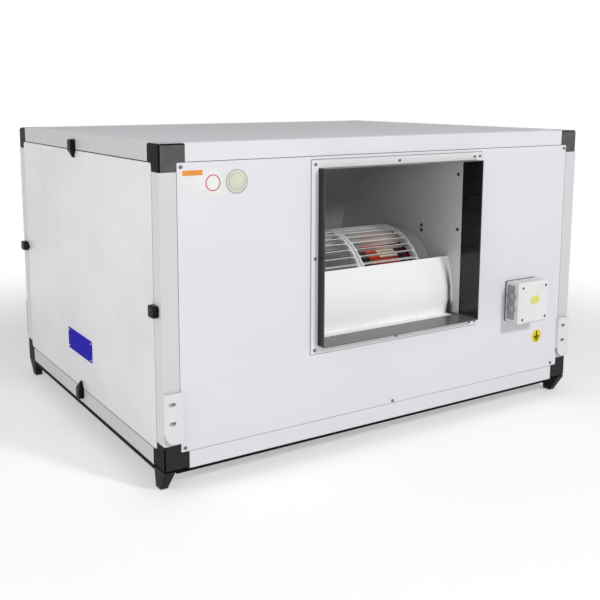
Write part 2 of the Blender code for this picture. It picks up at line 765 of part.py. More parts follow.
def brackets(parent):
    """Slotted brackets near the foot of each post, front and rear."""
    for end, turn, y in (("front", 0.0, FRONT), ("rear", math.pi, HALF_D)):
        for side, x in (("left", -HALF_W), ("right", HALF_W - BRACKET_WIDTH)):
            mesh = bracket_mesh()
            left = x
            if turn:
                mesh.transform(Matrix.Rotation(turn, 4, "Z"))
                left = x + BRACKET_WIDTH
            place(f"bracket_{end}_{side}", mesh, "white_profile", parent, (left, y, BRACKET_BOTTOM))


def knob_outline():
    """A knob's outline: a blunt head on the frame, and a tongue that narrows over the panel."""
    half = KNOB_WIDTH / 2
    corner = KNOB_CORNER
    top = -KNOB_EDGE - corner
    shoulder = -KNOB_EDGE - KNOB_SHOULDER
    tip = (0, -KNOB_EDGE - KNOB_LENGTH + KNOB_TIP_RADIUS)
    outline = circle((half - corner, top), corner, CORNER_POINTS, 0, math.pi / 2)
    outline += circle((corner - half, top), corner, CORNER_POINTS, math.pi / 2, math.pi / 2)
    outline += [(-half, shoulder)]
    outline += circle(tip, KNOB_TIP_RADIUS, ROUND_POINTS, math.pi, math.pi)
    return outline + [(half, shoulder)]


def knob_mesh():
    """A knob on the left side: its outer face slopes down from the shoulder to the tip."""
    shoulder = -KNOB_EDGE - KNOB_SHOULDER
    slope = (KNOB_THICK - KNOB_THIN) / (KNOB_LENGTH - KNOB_SHOULDER)
    bm = bmesh.new()
    bm.from_mesh(flat_solid([knob_outline()], "YZ", -KNOB_THICK, -SEAT_GAP))
    bmesh.ops.dissolve_limit(bm, angle_limit=math.radians(1), verts=bm.verts, edges=bm.edges)
    geom = [*bm.verts, *bm.edges, *bm.faces]
    bmesh.ops.bisect_plane(bm, geom=geom, dist=MERGE, plane_co=(0, 0, shoulder), plane_no=(0, 0, 1))
    outer = [vert for vert in bm.verts if vert.co.x < -KNOB_THICK / 2]
    for vert in outer:
        vert.co.x += slope * max(0.0, shoulder - vert.co.z)
    bm.normal_update()
    rim = [
        edge for edge in bm.edges
        if all(vert in outer for vert in edge.verts) and edge.calc_face_angle() > SMOOTH_ANGLE
    ]
    bmesh.ops.bevel(bm, geom=rim, offset=KNOB_BEVEL, segments=2, affect="EDGES")
    return mesh_from(bm, "knob")


def lock_knobs(parent):
    """Knobs on each edge of both access panels, the upper and lower ones just behind the middle."""
    middle = CABINET_HEIGHT / 2
    spots = {
        "top": (KNOB_SHIFT, CABINET_HEIGHT, 0.0),
        "bottom": (KNOB_SHIFT, 0.0, math.pi),
        "front": (-HALF_D, middle, math.pi / 2),
        "rear": (HALF_D, middle, -math.pi / 2),
    }
    knob = knob_mesh()
    for side, sign in (("left", 1), ("right", -1)):
        for spot, (y, z, turn) in spots.items():
            mesh = mirrored(knob, (sign, 1, 1))
            mesh.transform(Matrix.Rotation(turn, 4, "X"))
            place(f"lock_knob_{spot}_{side}", mesh, "black_plastic", parent, (-sign * HALF_W, y, z))


def rear_pad(parent):
    """The cellulose pad behind its frame."""
    edge = PROFILE_FACE + PANEL_GAP
    border = edge + PAD_FRAME_BORDER
    outlines = [
        rectangle(margin - HALF_W, HALF_W - margin, margin, CABINET_HEIGHT - margin)
        for margin in (edge, border)
    ]
    frame = flat_solid(outlines, "XZ", -PANEL_THICKNESS + SEAT_GAP, 0)
    place("pad_frame", frame, "galvanised_sheet", parent, (0, HALF_D, 0))
    side = PROFILE_SIZE + SEAT_GAP
    pad = rectangle(side - HALF_W, HALF_W - side, side, CABINET_HEIGHT - side)
    media = flat_solid([pad], "XZ", -PANEL_THICKNESS - PAD_THICKNESS, -PANEL_THICKNESS)
    place("cellulose_pad", media, "cellulose", parent, (0, HALF_D, 0))


def main():
    clear_scene()
    cabinet = empty("cabinet", (0, CENTRE_SHIFT, FOOT_HEIGHT))
    frame_members(cabinet)
    corner_blocks(cabinet)
    feet(cabinet)
    panels(cabinet)
    air_outlet(cabinet)
    blower(cabinet)
    junction_box(cabinet)
    brackets(cabinet)
    lock_knobs(cabinet)
    rear_pad(cabinet)


main()
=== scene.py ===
"""Looks of the ceiling evaporative cooler: its finishes, small fittings, studio and camera.

Metres, +Z up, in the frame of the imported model: X runs along the outlet face, Y from that
face to the pad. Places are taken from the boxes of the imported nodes.
"""

import logging
import math
import random
from collections.abc import Callable, Iterable, Sequence
from dataclasses import dataclass
from enum import Enum

import bmesh
import bpy
import numpy as np
from mathutils import Matrix, Vector


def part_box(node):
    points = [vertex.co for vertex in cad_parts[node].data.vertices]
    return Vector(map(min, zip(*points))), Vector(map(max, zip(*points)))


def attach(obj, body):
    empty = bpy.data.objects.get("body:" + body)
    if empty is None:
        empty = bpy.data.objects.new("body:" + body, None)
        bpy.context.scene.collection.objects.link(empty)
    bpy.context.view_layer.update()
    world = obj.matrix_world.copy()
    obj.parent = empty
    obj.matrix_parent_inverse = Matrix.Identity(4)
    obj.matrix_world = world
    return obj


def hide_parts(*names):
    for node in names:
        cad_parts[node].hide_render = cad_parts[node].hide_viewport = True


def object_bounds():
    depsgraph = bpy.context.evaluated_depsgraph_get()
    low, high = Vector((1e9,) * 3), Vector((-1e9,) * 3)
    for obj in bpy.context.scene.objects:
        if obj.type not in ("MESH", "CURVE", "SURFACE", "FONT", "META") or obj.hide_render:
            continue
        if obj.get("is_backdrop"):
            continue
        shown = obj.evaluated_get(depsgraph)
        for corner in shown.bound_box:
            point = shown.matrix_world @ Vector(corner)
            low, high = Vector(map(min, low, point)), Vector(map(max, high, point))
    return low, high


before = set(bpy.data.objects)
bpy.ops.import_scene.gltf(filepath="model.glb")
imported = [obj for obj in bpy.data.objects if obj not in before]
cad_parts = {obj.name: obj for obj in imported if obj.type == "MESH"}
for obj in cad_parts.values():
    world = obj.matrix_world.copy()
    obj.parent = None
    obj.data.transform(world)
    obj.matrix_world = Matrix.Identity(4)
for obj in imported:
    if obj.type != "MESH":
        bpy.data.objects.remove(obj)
cad_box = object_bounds()

LOG = logging.getLogger("cooler")
Colour = tuple[float, float, float]
Place = tuple[float, float, float]
Point = tuple[float, float]

LEVELS = ("bottom", "top")
ENDS = ("front", "rear")
SIDES = ("left", "right")

SMOOTH_ANGLE = math.radians(32)
BEVEL_ANGLE = math.radians(50)
WELD_DISTANCE = 0.00001
SECTION_ALONG_X = Matrix(((0, 0, 1, 0), (1, 0, 0, 0), (0, 1, 0, 0), (0, 0, 0, 1)))


class Body(Enum):
    """The bodies that a piece can ride on."""

    CABINET = "cabinet"
    FAN = "fan"


class Slot(Enum):
    """The record's material slots."""

    PROFILE = "white_profile"
    PANEL = "white_panel"
    BLACK = "black_plastic"
    WHITE_SHEET = "white_sheet"
    MOTOR = "motor_enamel"
    STEEL = "bright_steel"
    JUNCTION = "junction_plastic"
    CELLULOSE = "cellulose"


class Axis(Enum):
    """The axes of the frame, by their places in a point."""

    X = 0
    Y = 1
    Z = 2


class Signal:
    """An output socket of a node, which Python's operators extend with Math nodes."""

    def __init__(self, wiring: "Wiring", socket: bpy.types.NodeSocket) -> None:
        """Wraps a socket.

        Args:
            wiring: The node tree's wiring, which adds the nodes.
            socket: The output socket.
        """
        self.wiring = wiring
        self.socket = socket

    def math(self, operation: str, *values: "Signal | float") -> "Signal":
        """Adds one Math node.

        Args:
            operation: The Math node's operation.
            values: All its inputs in order, this signal among them.

        Returns:
            The node's output.
        """
        return self.wiring.signal("ShaderNodeMath", {"operation": operation}, dict(enumerate(values)))

    def __add__(self, other: "Signal | float") -> "Signal":
        """The sum."""
        return self.math("ADD", self, other)

    def __radd__(self, other: float) -> "Signal":
        """The sum, from the right."""
        return self.math("ADD", other, self)

    def __sub__(self, other: "Signal | float") -> "Signal":
        """The difference."""
        return self.math("SUBTRACT", self, other)

    def __mul__(self, other: "Signal | float") -> "Signal":
        """The product."""
        return self.math("MULTIPLY", self, other)

    def __rmul__(self, other: float) -> "Signal":
        """The product, from the right."""
        return self.math("MULTIPLY", other, self)

    def __pow__(self, other: float) -> "Signal":
        """The power."""
        return self.math("POWER", self, other)

    def either(self, other: "Signal") -> "Signal":
        """The larger of two signals."""
        return self.math("MAXIMUM", self, other)

    def ease(self, low: float, high: float) -> "Signal":
        """A smooth step from 0 at low to 1 at high, or down where low is above high.

        Args:
            low: Where the step starts.
            high: Where it ends.

        Returns:
            The step.
        """
        near, far = sorted((low, high))
        ends = {3: 0.0, 4: 1.0} if low < high else {3: 1.0, 4: 0.0}
        return self.wiring.signal(
            "ShaderNodeMapRange", {"interpolation_type": "SMOOTHSTEP"}, {0: self, 1: near, 2: far, **ends}
        )


class Wiring:
    """A node tree, and the one method through which nodes are added to it."""

    def __init__(self, tree: bpy.types.NodeTree) -> None:
        """Empties the tree.

        Args:
            tree: The node tree of a material or a world.
        """
        self.tree = tree
        tree.nodes.clear()

    def node(self, kind: str, settings: dict | None = None, inputs: dict | None = None) -> bpy.types.Node:
        """Adds a node.

        Args:
            kind: The node's type.
            settings: Its properties, set first.
            inputs: Values, signals or shader sockets, by socket name or number.

        Returns:
            The node.
        """
        made = self.tree.nodes.new(kind)
        for name, value in (settings or {}).items():
            setattr(made, name, value)
        for name, value in (inputs or {}).items():
            source = value.socket if isinstance(value, Signal) else value
            if isinstance(source, bpy.types.NodeSocket):
                self.tree.links.new(source, made.inputs[name])
            else:
                made.inputs[name].default_value = source
        return made

    def signal(
        self, kind: str, settings: dict | None = None, inputs: dict | None = None, output: int = 0,
    ) -> Signal:
        """Adds a node and wraps one of its outputs.

        Args:
            kind: The node's type.
            settings: Its properties.
            inputs: Its inputs.
            output: The number of the output.

        Returns:
            The output.
        """
        return Signal(self, self.node(kind, settings, inputs).outputs[output])

    def place(self, scale: Place = (1.0, 1.0, 1.0)) -> Signal:
        """The point on the piece in metres, with each axis scaled.

        Args:
            scale: What X, Y and Z are multiplied by, below 1 to draw a pattern out.

        Returns:
            The point.
        """
        point = self.signal("ShaderNodeTexCoord", output=3)
        if scale == (1.0, 1.0, 1.0):
            return point
        return self.signal("ShaderNodeVectorMath", {"operation": "MULTIPLY"}, {0: point, 1: scale})

    def axis(self, axis: Axis) -> Signal:
        """The point's distance along an axis."""
        return self.signal("ShaderNodeSeparateXYZ", inputs={0: self.place()}, output=axis.value)

    def radius(self, first: Axis, second: Axis, centre: Point = (0.0, 0.0)) -> Signal:
        """The distance from a line along the third axis.

        Args:
            first: One axis across the line.
            second: The other axis across it.
            centre: Where the line crosses them.

        Returns:
            The distance.
        """
        across, up = self.axis(first) - centre[0], self.axis(second) - centre[1]
        return (across * across + up * up) ** 0.5

    def noise(self, scale: float, detail: float = 2.0, stretch: Place = (1.0, 1.0, 1.0)) -> Signal:
        """Noise about 0.5.

        Args:
            scale: Features a metre.
            detail: Octaves.
            stretch: What each axis is multiplied by.

        Returns:
            The noise.
        """
        inputs = {"Vector": self.place(stretch), "Scale": scale, "Detail": detail}
        return self.signal("ShaderNodeTexNoise", inputs=inputs)

    def cells(self, scale: float) -> Signal:
        """Voronoi cells, each with a colour of its own.

        Args:
            scale: Cells a metre.

        Returns:
            The colour.
        """
        return self.signal("ShaderNodeTexVoronoi", inputs={"Vector": self.place(), "Scale": scale}, output=1)

    def mix(self, factor: Signal | float, first: Signal | Colour, second: Signal | Colour) -> Signal:
        """A colour between two.

        Args:
            factor: 0 for the first, 1 for the second.
            first: A colour.
            second: A colour.

        Returns:
            The mixed colour.
        """
        ends = [value if isinstance(value, Signal) else (*value, 1.0) for value in (first, second)]
        inputs = {0: factor, 6: ends[0], 7: ends[1]}
        return self.signal("ShaderNodeMix", {"data_type": "RGBA", "clamp_factor": True}, inputs, 2)

    def bump(self, height: Signal, distance: float, under: Signal | None = None) -> Signal:
        """A bumped normal.

        Args:
            height: The relief, about 0 to 1.
            distance: The relief's height in metres.
            under: A normal that is bumped already.

        Returns:
            The normal.
        """
        inputs = {"Height": height, "Distance": distance, "Strength": 1.0}
        if under:
            inputs["Normal"] = under
        return self.signal("ShaderNodeBump", inputs=inputs)


def tint(colour: Colour, share: float) -> Colour:
    """A colour made lighter or darker.

    Args:
        colour: The colour.
        share: What it is multiplied by.

    Returns:
        The new colour.
    """
    return tuple(min(1.0, part * share) for part in colour)


@dataclass(frozen=True)
class Finish:
    """A plain surface, on which the other finishes build."""

    name: str
    colour: Colour
    roughness: float = 0.4
    metallic: float = 0.0

    def material(self) -> bpy.types.Material:
        """The finish's material, made the first time it is asked for."""
        found = bpy.data.materials.get(self.name)
        if found:
            return found
        made = bpy.data.materials.new(self.name)
        made.use_nodes = True
        wiring = Wiring(made.node_tree)
        shader = wiring.node("ShaderNodeBsdfPrincipled", inputs=self.surface(wiring))
        wiring.node("ShaderNodeOutputMaterial", inputs={"Surface": shader.outputs[0]})
        return made

    def surface(self, wiring: Wiring) -> dict:
        """The shader's inputs.

        Args:
            wiring: The material's wiring.

        Returns:
            Values and signals by socket name.
        """
        return {"Base Color": (*self.colour, 1.0), "Roughness": self.roughness, "Metallic": self.metallic}


@dataclass(frozen=True)
class PaintedSheet(Finish):
    """Coil-coated or powder-coated sheet: soft peel, faint clouds and a little dust."""

    peel: float = 0.000012
    cloud: float = 0.013
    dust: float = 0.03
    dust_top: float = 0.10
    dust_colour: Colour = (0.42, 0.40, 0.37)
    specular: float = 0.5

    def surface(self, wiring: Wiring) -> dict:
        """The coating's inputs.

        Args:
            wiring: The material's wiring.

        Returns:
            Values and signals by socket name.
        """
        cloud = wiring.noise(3.0, 3.0, (1.0, 1.0, 1.6)).ease(0.35, 0.68)
        smudge = wiring.noise(5.0, 1.0).ease(0.35, 0.80)
        low = wiring.axis(Axis.Z).ease(self.dust_top, 0.0)
        grains = wiring.noise(420.0, 3.0).ease(0.55, 0.75)
        colour = wiring.mix(cloud, tint(self.colour, 1 - self.cloud), tint(self.colour, 1 + self.cloud))
        colour = wiring.mix((low + 0.25) * grains * self.dust * 4.0, colour, self.dust_colour)
        normal = wiring.bump(wiring.noise(230.0, 1.0), self.peel)
        return {
            "Base Color": colour,
            "Roughness": self.roughness + 0.04 * smudge,
            "Metallic": self.metallic,
            "Specular IOR Level": self.specular,
            "Normal": normal,
        }


@dataclass(frozen=True)
class ExtrudedPaint(Finish):
    """Powder-coated aluminium profile, with faint die lines along its length."""

    along: Axis = Axis.X
    peel: float = 0.000018
    die_depth: float = 0.00001
    dust_colour: Colour = (0.45, 0.43, 0.40)

    def surface(self, wiring: Wiring) -> dict:
        """The profile's inputs.

        Args:
            wiring: The material's wiring.

        Returns:
            Values and signals by socket name.
        """
        stretch = [1.0, 1.0, 1.0]
        stretch[self.along.value] = 0.01
        die = wiring.noise(520.0, 2.0, tuple(stretch))
        cloud = wiring.noise(5.0, 3.0).ease(0.36, 0.66)
        grains = wiring.noise(500.0, 3.0).ease(0.60, 0.78)
        colour = wiring.mix(cloud, tint(self.colour, 0.985), tint(self.colour, 1.01))
        colour = wiring.mix(grains * 0.06, colour, self.dust_colour)
        peel = wiring.bump(wiring.noise(800.0, 1.0), self.peel)
        return {
            "Base Color": colour,
            "Roughness": self.roughness + 0.08 * (die - 0.5),
            "Metallic": self.metallic,
            "Normal": wiring.bump(die, self.die_depth, peel),
        }


@dataclass(frozen=True)
class MouldedPlastic(Finish):
    """Moulded plastic with a fine spark grain and pale scuffs."""

    grain: float = 0.00004
    scuff: float = 0.25
    specular: float = 0.5
    flow: float = 0.10

    def surface(self, wiring: Wiring) -> dict:
        """The plastic's inputs.

        Args:
            wiring: The material's wiring.

        Returns:
            Values and signals by socket name.
        """
        spark = wiring.noise(1500.0, 2.0)
        flow = wiring.noise(28.0, 3.0, (1.0, 1.0, 0.3)).ease(0.35, 0.70)
        scuffs = wiring.noise(190.0, 5.0, (1.0, 1.0, 0.35)).ease(0.63, 0.76)
        scuffed = tuple(part * 0.6 + 0.14 for part in self.colour)
        colour = wiring.mix(flow, tint(self.colour, 1 - self.flow), tint(self.colour, 1 + self.flow))
        colour = wiring.mix(scuffs * self.scuff, colour, scuffed)
        return {
            "Base Color": colour,
            "Roughness": self.roughness + 0.10 * (spark - 0.5) + 0.10 * scuffs,
            "Specular IOR Level": self.specular,
            "Normal": wiring.bump(spark, self.grain),
        }


@dataclass(frozen=True)
class ShadedKnockoutPlastic(MouldedPlastic):
    """Moulded plastic whose knockouts, the parts that stand out furthest sideways, are coloured dark grey as
    painted shade.
    """

    left: float = 0.0
    right: float = 0.0
    depth: float = 0.0010
    knockout_shade: Colour = (0.28, 0.28, 0.285)

    def surface(self, wiring: Wiring) -> dict:
        """The plastic's inputs.

        Args:
            wiring: The material's wiring.

        Returns:
            Values and signals by socket name.
        """
        inputs = super().surface(wiring)
        across = wiring.axis(Axis.X)
        near, far = self.depth, self.depth * 0.6
        left = across.ease(self.left + near, self.left + far)
        right = across.ease(self.right - near, self.right - far)
        # painted shade: the knockouts on the flanks are coloured dark grey
        inputs["Base Color"] = wiring.mix(left + right, inputs["Base Color"], self.knockout_shade)
        return inputs


@dataclass(frozen=True)
class FrontHighlightPlastic(MouldedPlastic):
    """Black plastic with a painted highlight on its outlet-side faces, lighter towards the top."""

    front: float = -0.409
    low: float = 0.10
    high: float = 0.58
    highlight_low_colour: Colour = (0.030, 0.030, 0.031)
    highlight_high_colour: Colour = (0.118, 0.115, 0.119)
    roof: float = 0.6414
    dusty_top: Colour = (0.42, 0.42, 0.44)

    def surface(self, wiring: Wiring) -> dict:
        """The plastic's inputs.

        Args:
            wiring: The material's wiring.

        Returns:
            Values and signals by socket name.
        """
        inputs = super().surface(wiring)
        # painted highlight: faces on the outlet side are coloured lighter grey, more so higher up, in place
        # of the light they reflect
        face = wiring.axis(Axis.Y).ease(self.front + 0.0014, self.front + 0.0006)
        high = wiring.axis(Axis.Z).ease(self.low, self.high)
        highlight_patches = wiring.noise(60.0, 4.0).ease(0.30, 0.70)
        highlight = wiring.mix(high, self.highlight_low_colour, self.highlight_high_colour)
        highlight = wiring.mix(highlight_patches * 0.25, highlight, tint(self.highlight_low_colour, 0.8))
        colour = wiring.mix(face, inputs["Base Color"], highlight)
        dusty = wiring.axis(Axis.Z).ease(self.roof, self.roof + 0.0004)
        inputs["Base Color"] = wiring.mix(dusty, colour, self.dusty_top)
        return inputs


@dataclass(frozen=True)
class Galvanised(Finish):
    """Zinc-coated sheet: soft spangle, with dull patches of handling."""

    spangle: float = 110.0

    def surface(self, wiring: Wiring) -> dict:
        """The zinc's inputs.

        Args:
            wiring: The material's wiring.

        Returns:
            Values and signals by socket name.
        """
        grain = wiring.signal("ShaderNodeSeparateColor", inputs={0: wiring.cells(self.spangle)})
        dull = wiring.noise(14.0, 4.0).ease(0.42, 0.70)
        brushed = wiring.noise(260.0, 2.0, (1.0, 1.0, 0.1))
        colour = wiring.mix(grain, tint(self.colour, 0.86), tint(self.colour, 1.12))
        colour = wiring.mix(dull * 0.5, colour, tint(self.colour, 0.80))
        return {
            "Base Color": colour,
            "Roughness": self.roughness + 0.14 * (grain - 0.5) + 0.10 * dull,
            "Metallic": self.metallic,
            "Normal": wiring.bump(brushed, 0.00001),
        }


@dataclass(frozen=True)
class LiningPaint(Finish):
    """Dark paint on folded sheet, rubbed on its raw front edge, with its floor lightened: part settled dust,
    part painted light where the floor faces up into the light.
    """

    edge: float = 0.0
    edge_colour: Colour = (0.10, 0.10, 0.105)
    floor: float = 0.0
    dust_colour: Colour = (0.20, 0.195, 0.18)
    specular: float = 0.30

    def surface(self, wiring: Wiring) -> dict:
        """The paint's inputs.

        Args:
            wiring: The material's wiring.

        Returns:
            Values and signals by socket name.
        """
        streak = wiring.noise(120.0, 3.0, (1.0, 0.12, 1.0))
        scratch = wiring.noise(900.0, 2.0, (1.0, 0.06, 1.0)).ease(0.70, 0.80)
        chips = wiring.noise(260.0, 3.0).ease(0.50, 0.62)
        edge = wiring.axis(Axis.Y).ease(self.edge + 0.0022, self.edge + 0.0002)
        colour = wiring.mix(streak.ease(0.3, 0.7), tint(self.colour, 0.85), tint(self.colour, 1.25))
        # the floor is lightened: part dust, part painted light from above
        floor = wiring.axis(Axis.Z).ease(self.floor + 0.0030, self.floor + 0.0018)
        colour = wiring.mix(scratch * 0.25, colour, (0.16, 0.16, 0.17))
        colour = wiring.mix(floor * (0.35 + 0.65 * streak), colour, self.dust_colour)
        colour = wiring.mix(edge * (0.45 + 0.55 * chips), colour, self.edge_colour)
        return {
            "Base Color": colour,
            "Roughness": self.roughness + 0.10 * (streak - 0.5) + 0.12 * scratch,
            "Metallic": self.metallic,
            "Specular IOR Level": self.specular,
            "Normal": wiring.bump(wiring.noise(600.0, 1.0), 0.00002),
        }


@dataclass(frozen=True)
class WheelCoating(Finish):
    """White coating on the fan wheel, greyed by dust at the blades' inner edges."""

    centre: Point = (0.0, 0.0)
    clean_radius: float = 0.14
    dusty_radius: float = 0.11
    dust_colour: Colour = (0.36, 0.34, 0.32)

    def surface(self, wiring: Wiring) -> dict:
        """The coating's inputs.

        Args:
            wiring: The material's wiring.

        Returns:
            Values and signals by socket name.
        """
        specks = wiring.noise(340.0, 4.0).ease(0.45, 0.70)
        radius = wiring.radius(Axis.Y, Axis.Z, self.centre)
        inner = radius.ease(self.clean_radius, self.dusty_radius)
        cloud = wiring.noise(24.0, 3.0).ease(0.35, 0.70)
        colour = wiring.mix(cloud, tint(self.colour, 0.95), tint(self.colour, 1.02))
        colour = wiring.mix((inner * 0.7 + 0.3) * specks * 0.30, colour, self.dust_colour)
        return {
            "Base Color": colour,
            "Roughness": self.roughness + 0.12 * specks,
            "Metallic": self.metallic,
            "Normal": wiring.bump(wiring.noise(500.0, 2.0), 0.00003),
        }


@dataclass(frozen=True)
class HousingCoating(Finish):
    """White coating inside the blower's housing, with painted shade high up and deep inside, a painted shade
    round the inlet, a painted shadow at the scroll's right end and a few dust specks.
    """

    shade_share: float = 0.4
    shade_low: float = 0.36
    shade_high: float = 0.46
    shade_front: float = -0.40
    shade_rear: float = -0.10
    dust_colour: Colour = (0.36, 0.34, 0.32)
    eye: Point = (-0.156, 0.269)
    eye_radius: float = 0.143
    eye_edge: float = 0.004
    eye_shade: float = 0.0
    eye_shade_colour: Colour = (0.22, 0.215, 0.21)
    end_shadow: float = 0.0
    end_low: float = 0.194
    end_high: float = 0.208
    band_fade: Point = (0.006, 0.005)
    band_heights: Point = (0.356, 0.300)
    corner_shadow_heights: Point = (0.268, 0.246)
    corner_shadow_width: float = 0.012
    end_shadow_colour: Colour = (0.04, 0.04, 0.045)

    def surface(self, wiring: Wiring) -> dict:
        """The coating's inputs.

        Args:
            wiring: The material's wiring.

        Returns:
            Values and signals by socket name.
        """
        # painted shade: darker high up in the housing and towards its back
        high = wiring.axis(Axis.Z).ease(self.shade_low, self.shade_high)
        deep = wiring.axis(Axis.Y).ease(self.shade_front, self.shade_rear)
        cloud = wiring.noise(7.0, 3.0).ease(0.30, 0.72)
        specks = wiring.noise(300.0, 4.0).ease(0.55, 0.78)
        colour = wiring.mix(cloud, tint(self.colour, 0.98), tint(self.colour, 1.02))
        colour = wiring.mix(high * (0.35 + 0.65 * deep), colour, tint(self.colour, self.shade_share))
        colour = wiring.mix(specks * 0.05, colour, self.dust_colour)
        # painted shade: the disc round the inlet is coloured darker
        radius = wiring.radius(Axis.Y, Axis.Z, self.eye)
        eye = radius.ease(self.eye_radius + self.eye_edge, self.eye_radius - self.eye_edge)
        colour = wiring.mix(eye * self.eye_shade, colour, self.eye_shade_colour)
        # painted shadow: a dark band at the scroll's right end, against the side plate
        colour = wiring.mix(self._end_shadow_mask(wiring) * self.end_shadow, colour, self.end_shadow_colour)
        return {
            "Base Color": colour,
            "Roughness": self.roughness + 0.10 * high,
            "Metallic": self.metallic,
            "Normal": wiring.bump(wiring.noise(600.0, 1.0), 0.00001),
        }

    def _end_shadow_mask(self, wiring: Wiring) -> Signal:
        """The painted shadow at the scroll's right end: a dark band, wider in its lower corner.

        Args:
            wiring: The material's wiring.

        Returns:
            The mask.
        """
        along, height = wiring.axis(Axis.X), wiring.axis(Axis.Z)
        low, high = self.end_low, self.end_high
        band = along.ease(low, low + self.band_fade[0]) * along.ease(high, high - self.band_fade[1])
        corner = along.ease(low - self.corner_shadow_width, high)
        return band * height.ease(*self.band_heights) + corner * height.ease(*self.corner_shadow_heights)


@dataclass(frozen=True)
class CastEnamel(Finish):
    """Thick enamel over a cast motor body."""

    dust_colour: Colour = (0.35, 0.31, 0.28)

    def surface(self, wiring: Wiring) -> dict:
        """The enamel's inputs.

        Args:
            wiring: The material's wiring.

        Returns:
            Values and signals by socket name.
        """
        cast = wiring.noise(330.0, 3.0)
        runs = wiring.noise(40.0, 3.0, (0.4, 1.0, 1.0)).ease(0.35, 0.70)
        dust = wiring.noise(120.0, 4.0).ease(0.58, 0.75)
        colour = wiring.mix(runs, tint(self.colour, 0.82), tint(self.colour, 1.12))
        colour = wiring.mix(dust * 0.18, colour, self.dust_colour)
        return {
            "Base Color": colour,
            "Roughness": self.roughness + 0.15 * dust,
            "Metallic": self.metallic,
            "Normal": wiring.bump(cast, 0.00008),
        }


@dataclass(frozen=True)
class TurnedSteel(Finish):
    """Turned or plated steel, with fine lathe rings along X."""

    def surface(self, wiring: Wiring) -> dict:
        """The steel's inputs.

        Args:
            wiring: The material's wiring.

        Returns:
            Values and signals by socket name.
        """
        rings = wiring.noise(1900.0, 1.0, (1.0, 0.05, 0.05))
        stain = wiring.noise(70.0, 4.0).ease(0.50, 0.72)
        colour = wiring.mix(stain * 0.6, self.colour, tint(self.colour, 0.6))
        return {
            "Base Color": colour,
            "Roughness": self.roughness + 0.15 * stain + 0.1 * (rings - 0.5),
            "Metallic": self.metallic,
            "Normal": wiring.bump(rings, 0.000015),
        }


@dataclass(frozen=True)
class CelluloseSheet(Finish):
    """Resin-stiffened cellulose: fibres, darker where it drains, pale on the cut edge."""

    edge: float = 0.0
    top: float = 0.6

    def surface(self, wiring: Wiring) -> dict:
        """The paper's inputs.

        Args:
            wiring: The material's wiring.

        Returns:
            Values and signals by socket name.
        """
        fibre = wiring.noise(900.0, 4.0, (1.0, 0.25, 1.0))
        batch = wiring.noise(45.0, 2.0, (1.0, 0.02, 0.02)).ease(0.35, 0.70)
        scale = wiring.noise(24.0, 5.0).ease(0.60, 0.78)
        wet = wiring.axis(Axis.Z).ease(self.top, 0.0)
        cut = wiring.axis(Axis.Y).ease(self.edge - 0.0015, self.edge)
        colour = wiring.mix(fibre.ease(0.3, 0.7), tint(self.colour, 0.72), tint(self.colour, 1.18))
        colour = wiring.mix(batch * 0.35, colour, tint(self.colour, 1.35))
        colour = wiring.mix(wet * 0.35, colour, tint(self.colour, 0.55))
        colour = wiring.mix(cut * 0.5, colour, (0.62, 0.47, 0.29))
        colour = wiring.mix(scale * cut * 0.35, colour, (0.72, 0.68, 0.60))
        return {
            "Base Color": colour,
            "Roughness": self.roughness,
            "Normal": wiring.bump(fibre, 0.00025),
        }


@dataclass(frozen=True)
class PrintedFilm(Finish):
    """Printed film or a stove-enamelled plate, with a clear lacquer."""

    lacquer: float = 0.3
    specular: float = 0.4

    def surface(self, wiring: Wiring) -> dict:
        """The film's inputs.

        Args:
            wiring: The material's wiring.

        Returns:
            Values and signals by socket name.
        """
        screen = wiring.noise(800.0, 2.0)
        fade = wiring.noise(30.0, 3.0).ease(0.35, 0.72)
        colour = wiring.mix(fade, tint(self.colour, 0.94), tint(self.colour, 1.05))
        return {
            "Base Color": colour,
            "Roughness": self.roughness + 0.08 * (screen - 0.5),
            "Specular IOR Level": self.specular,
            "Coat Weight": self.lacquer,
            "Normal": wiring.bump(screen, 0.00001),
        }


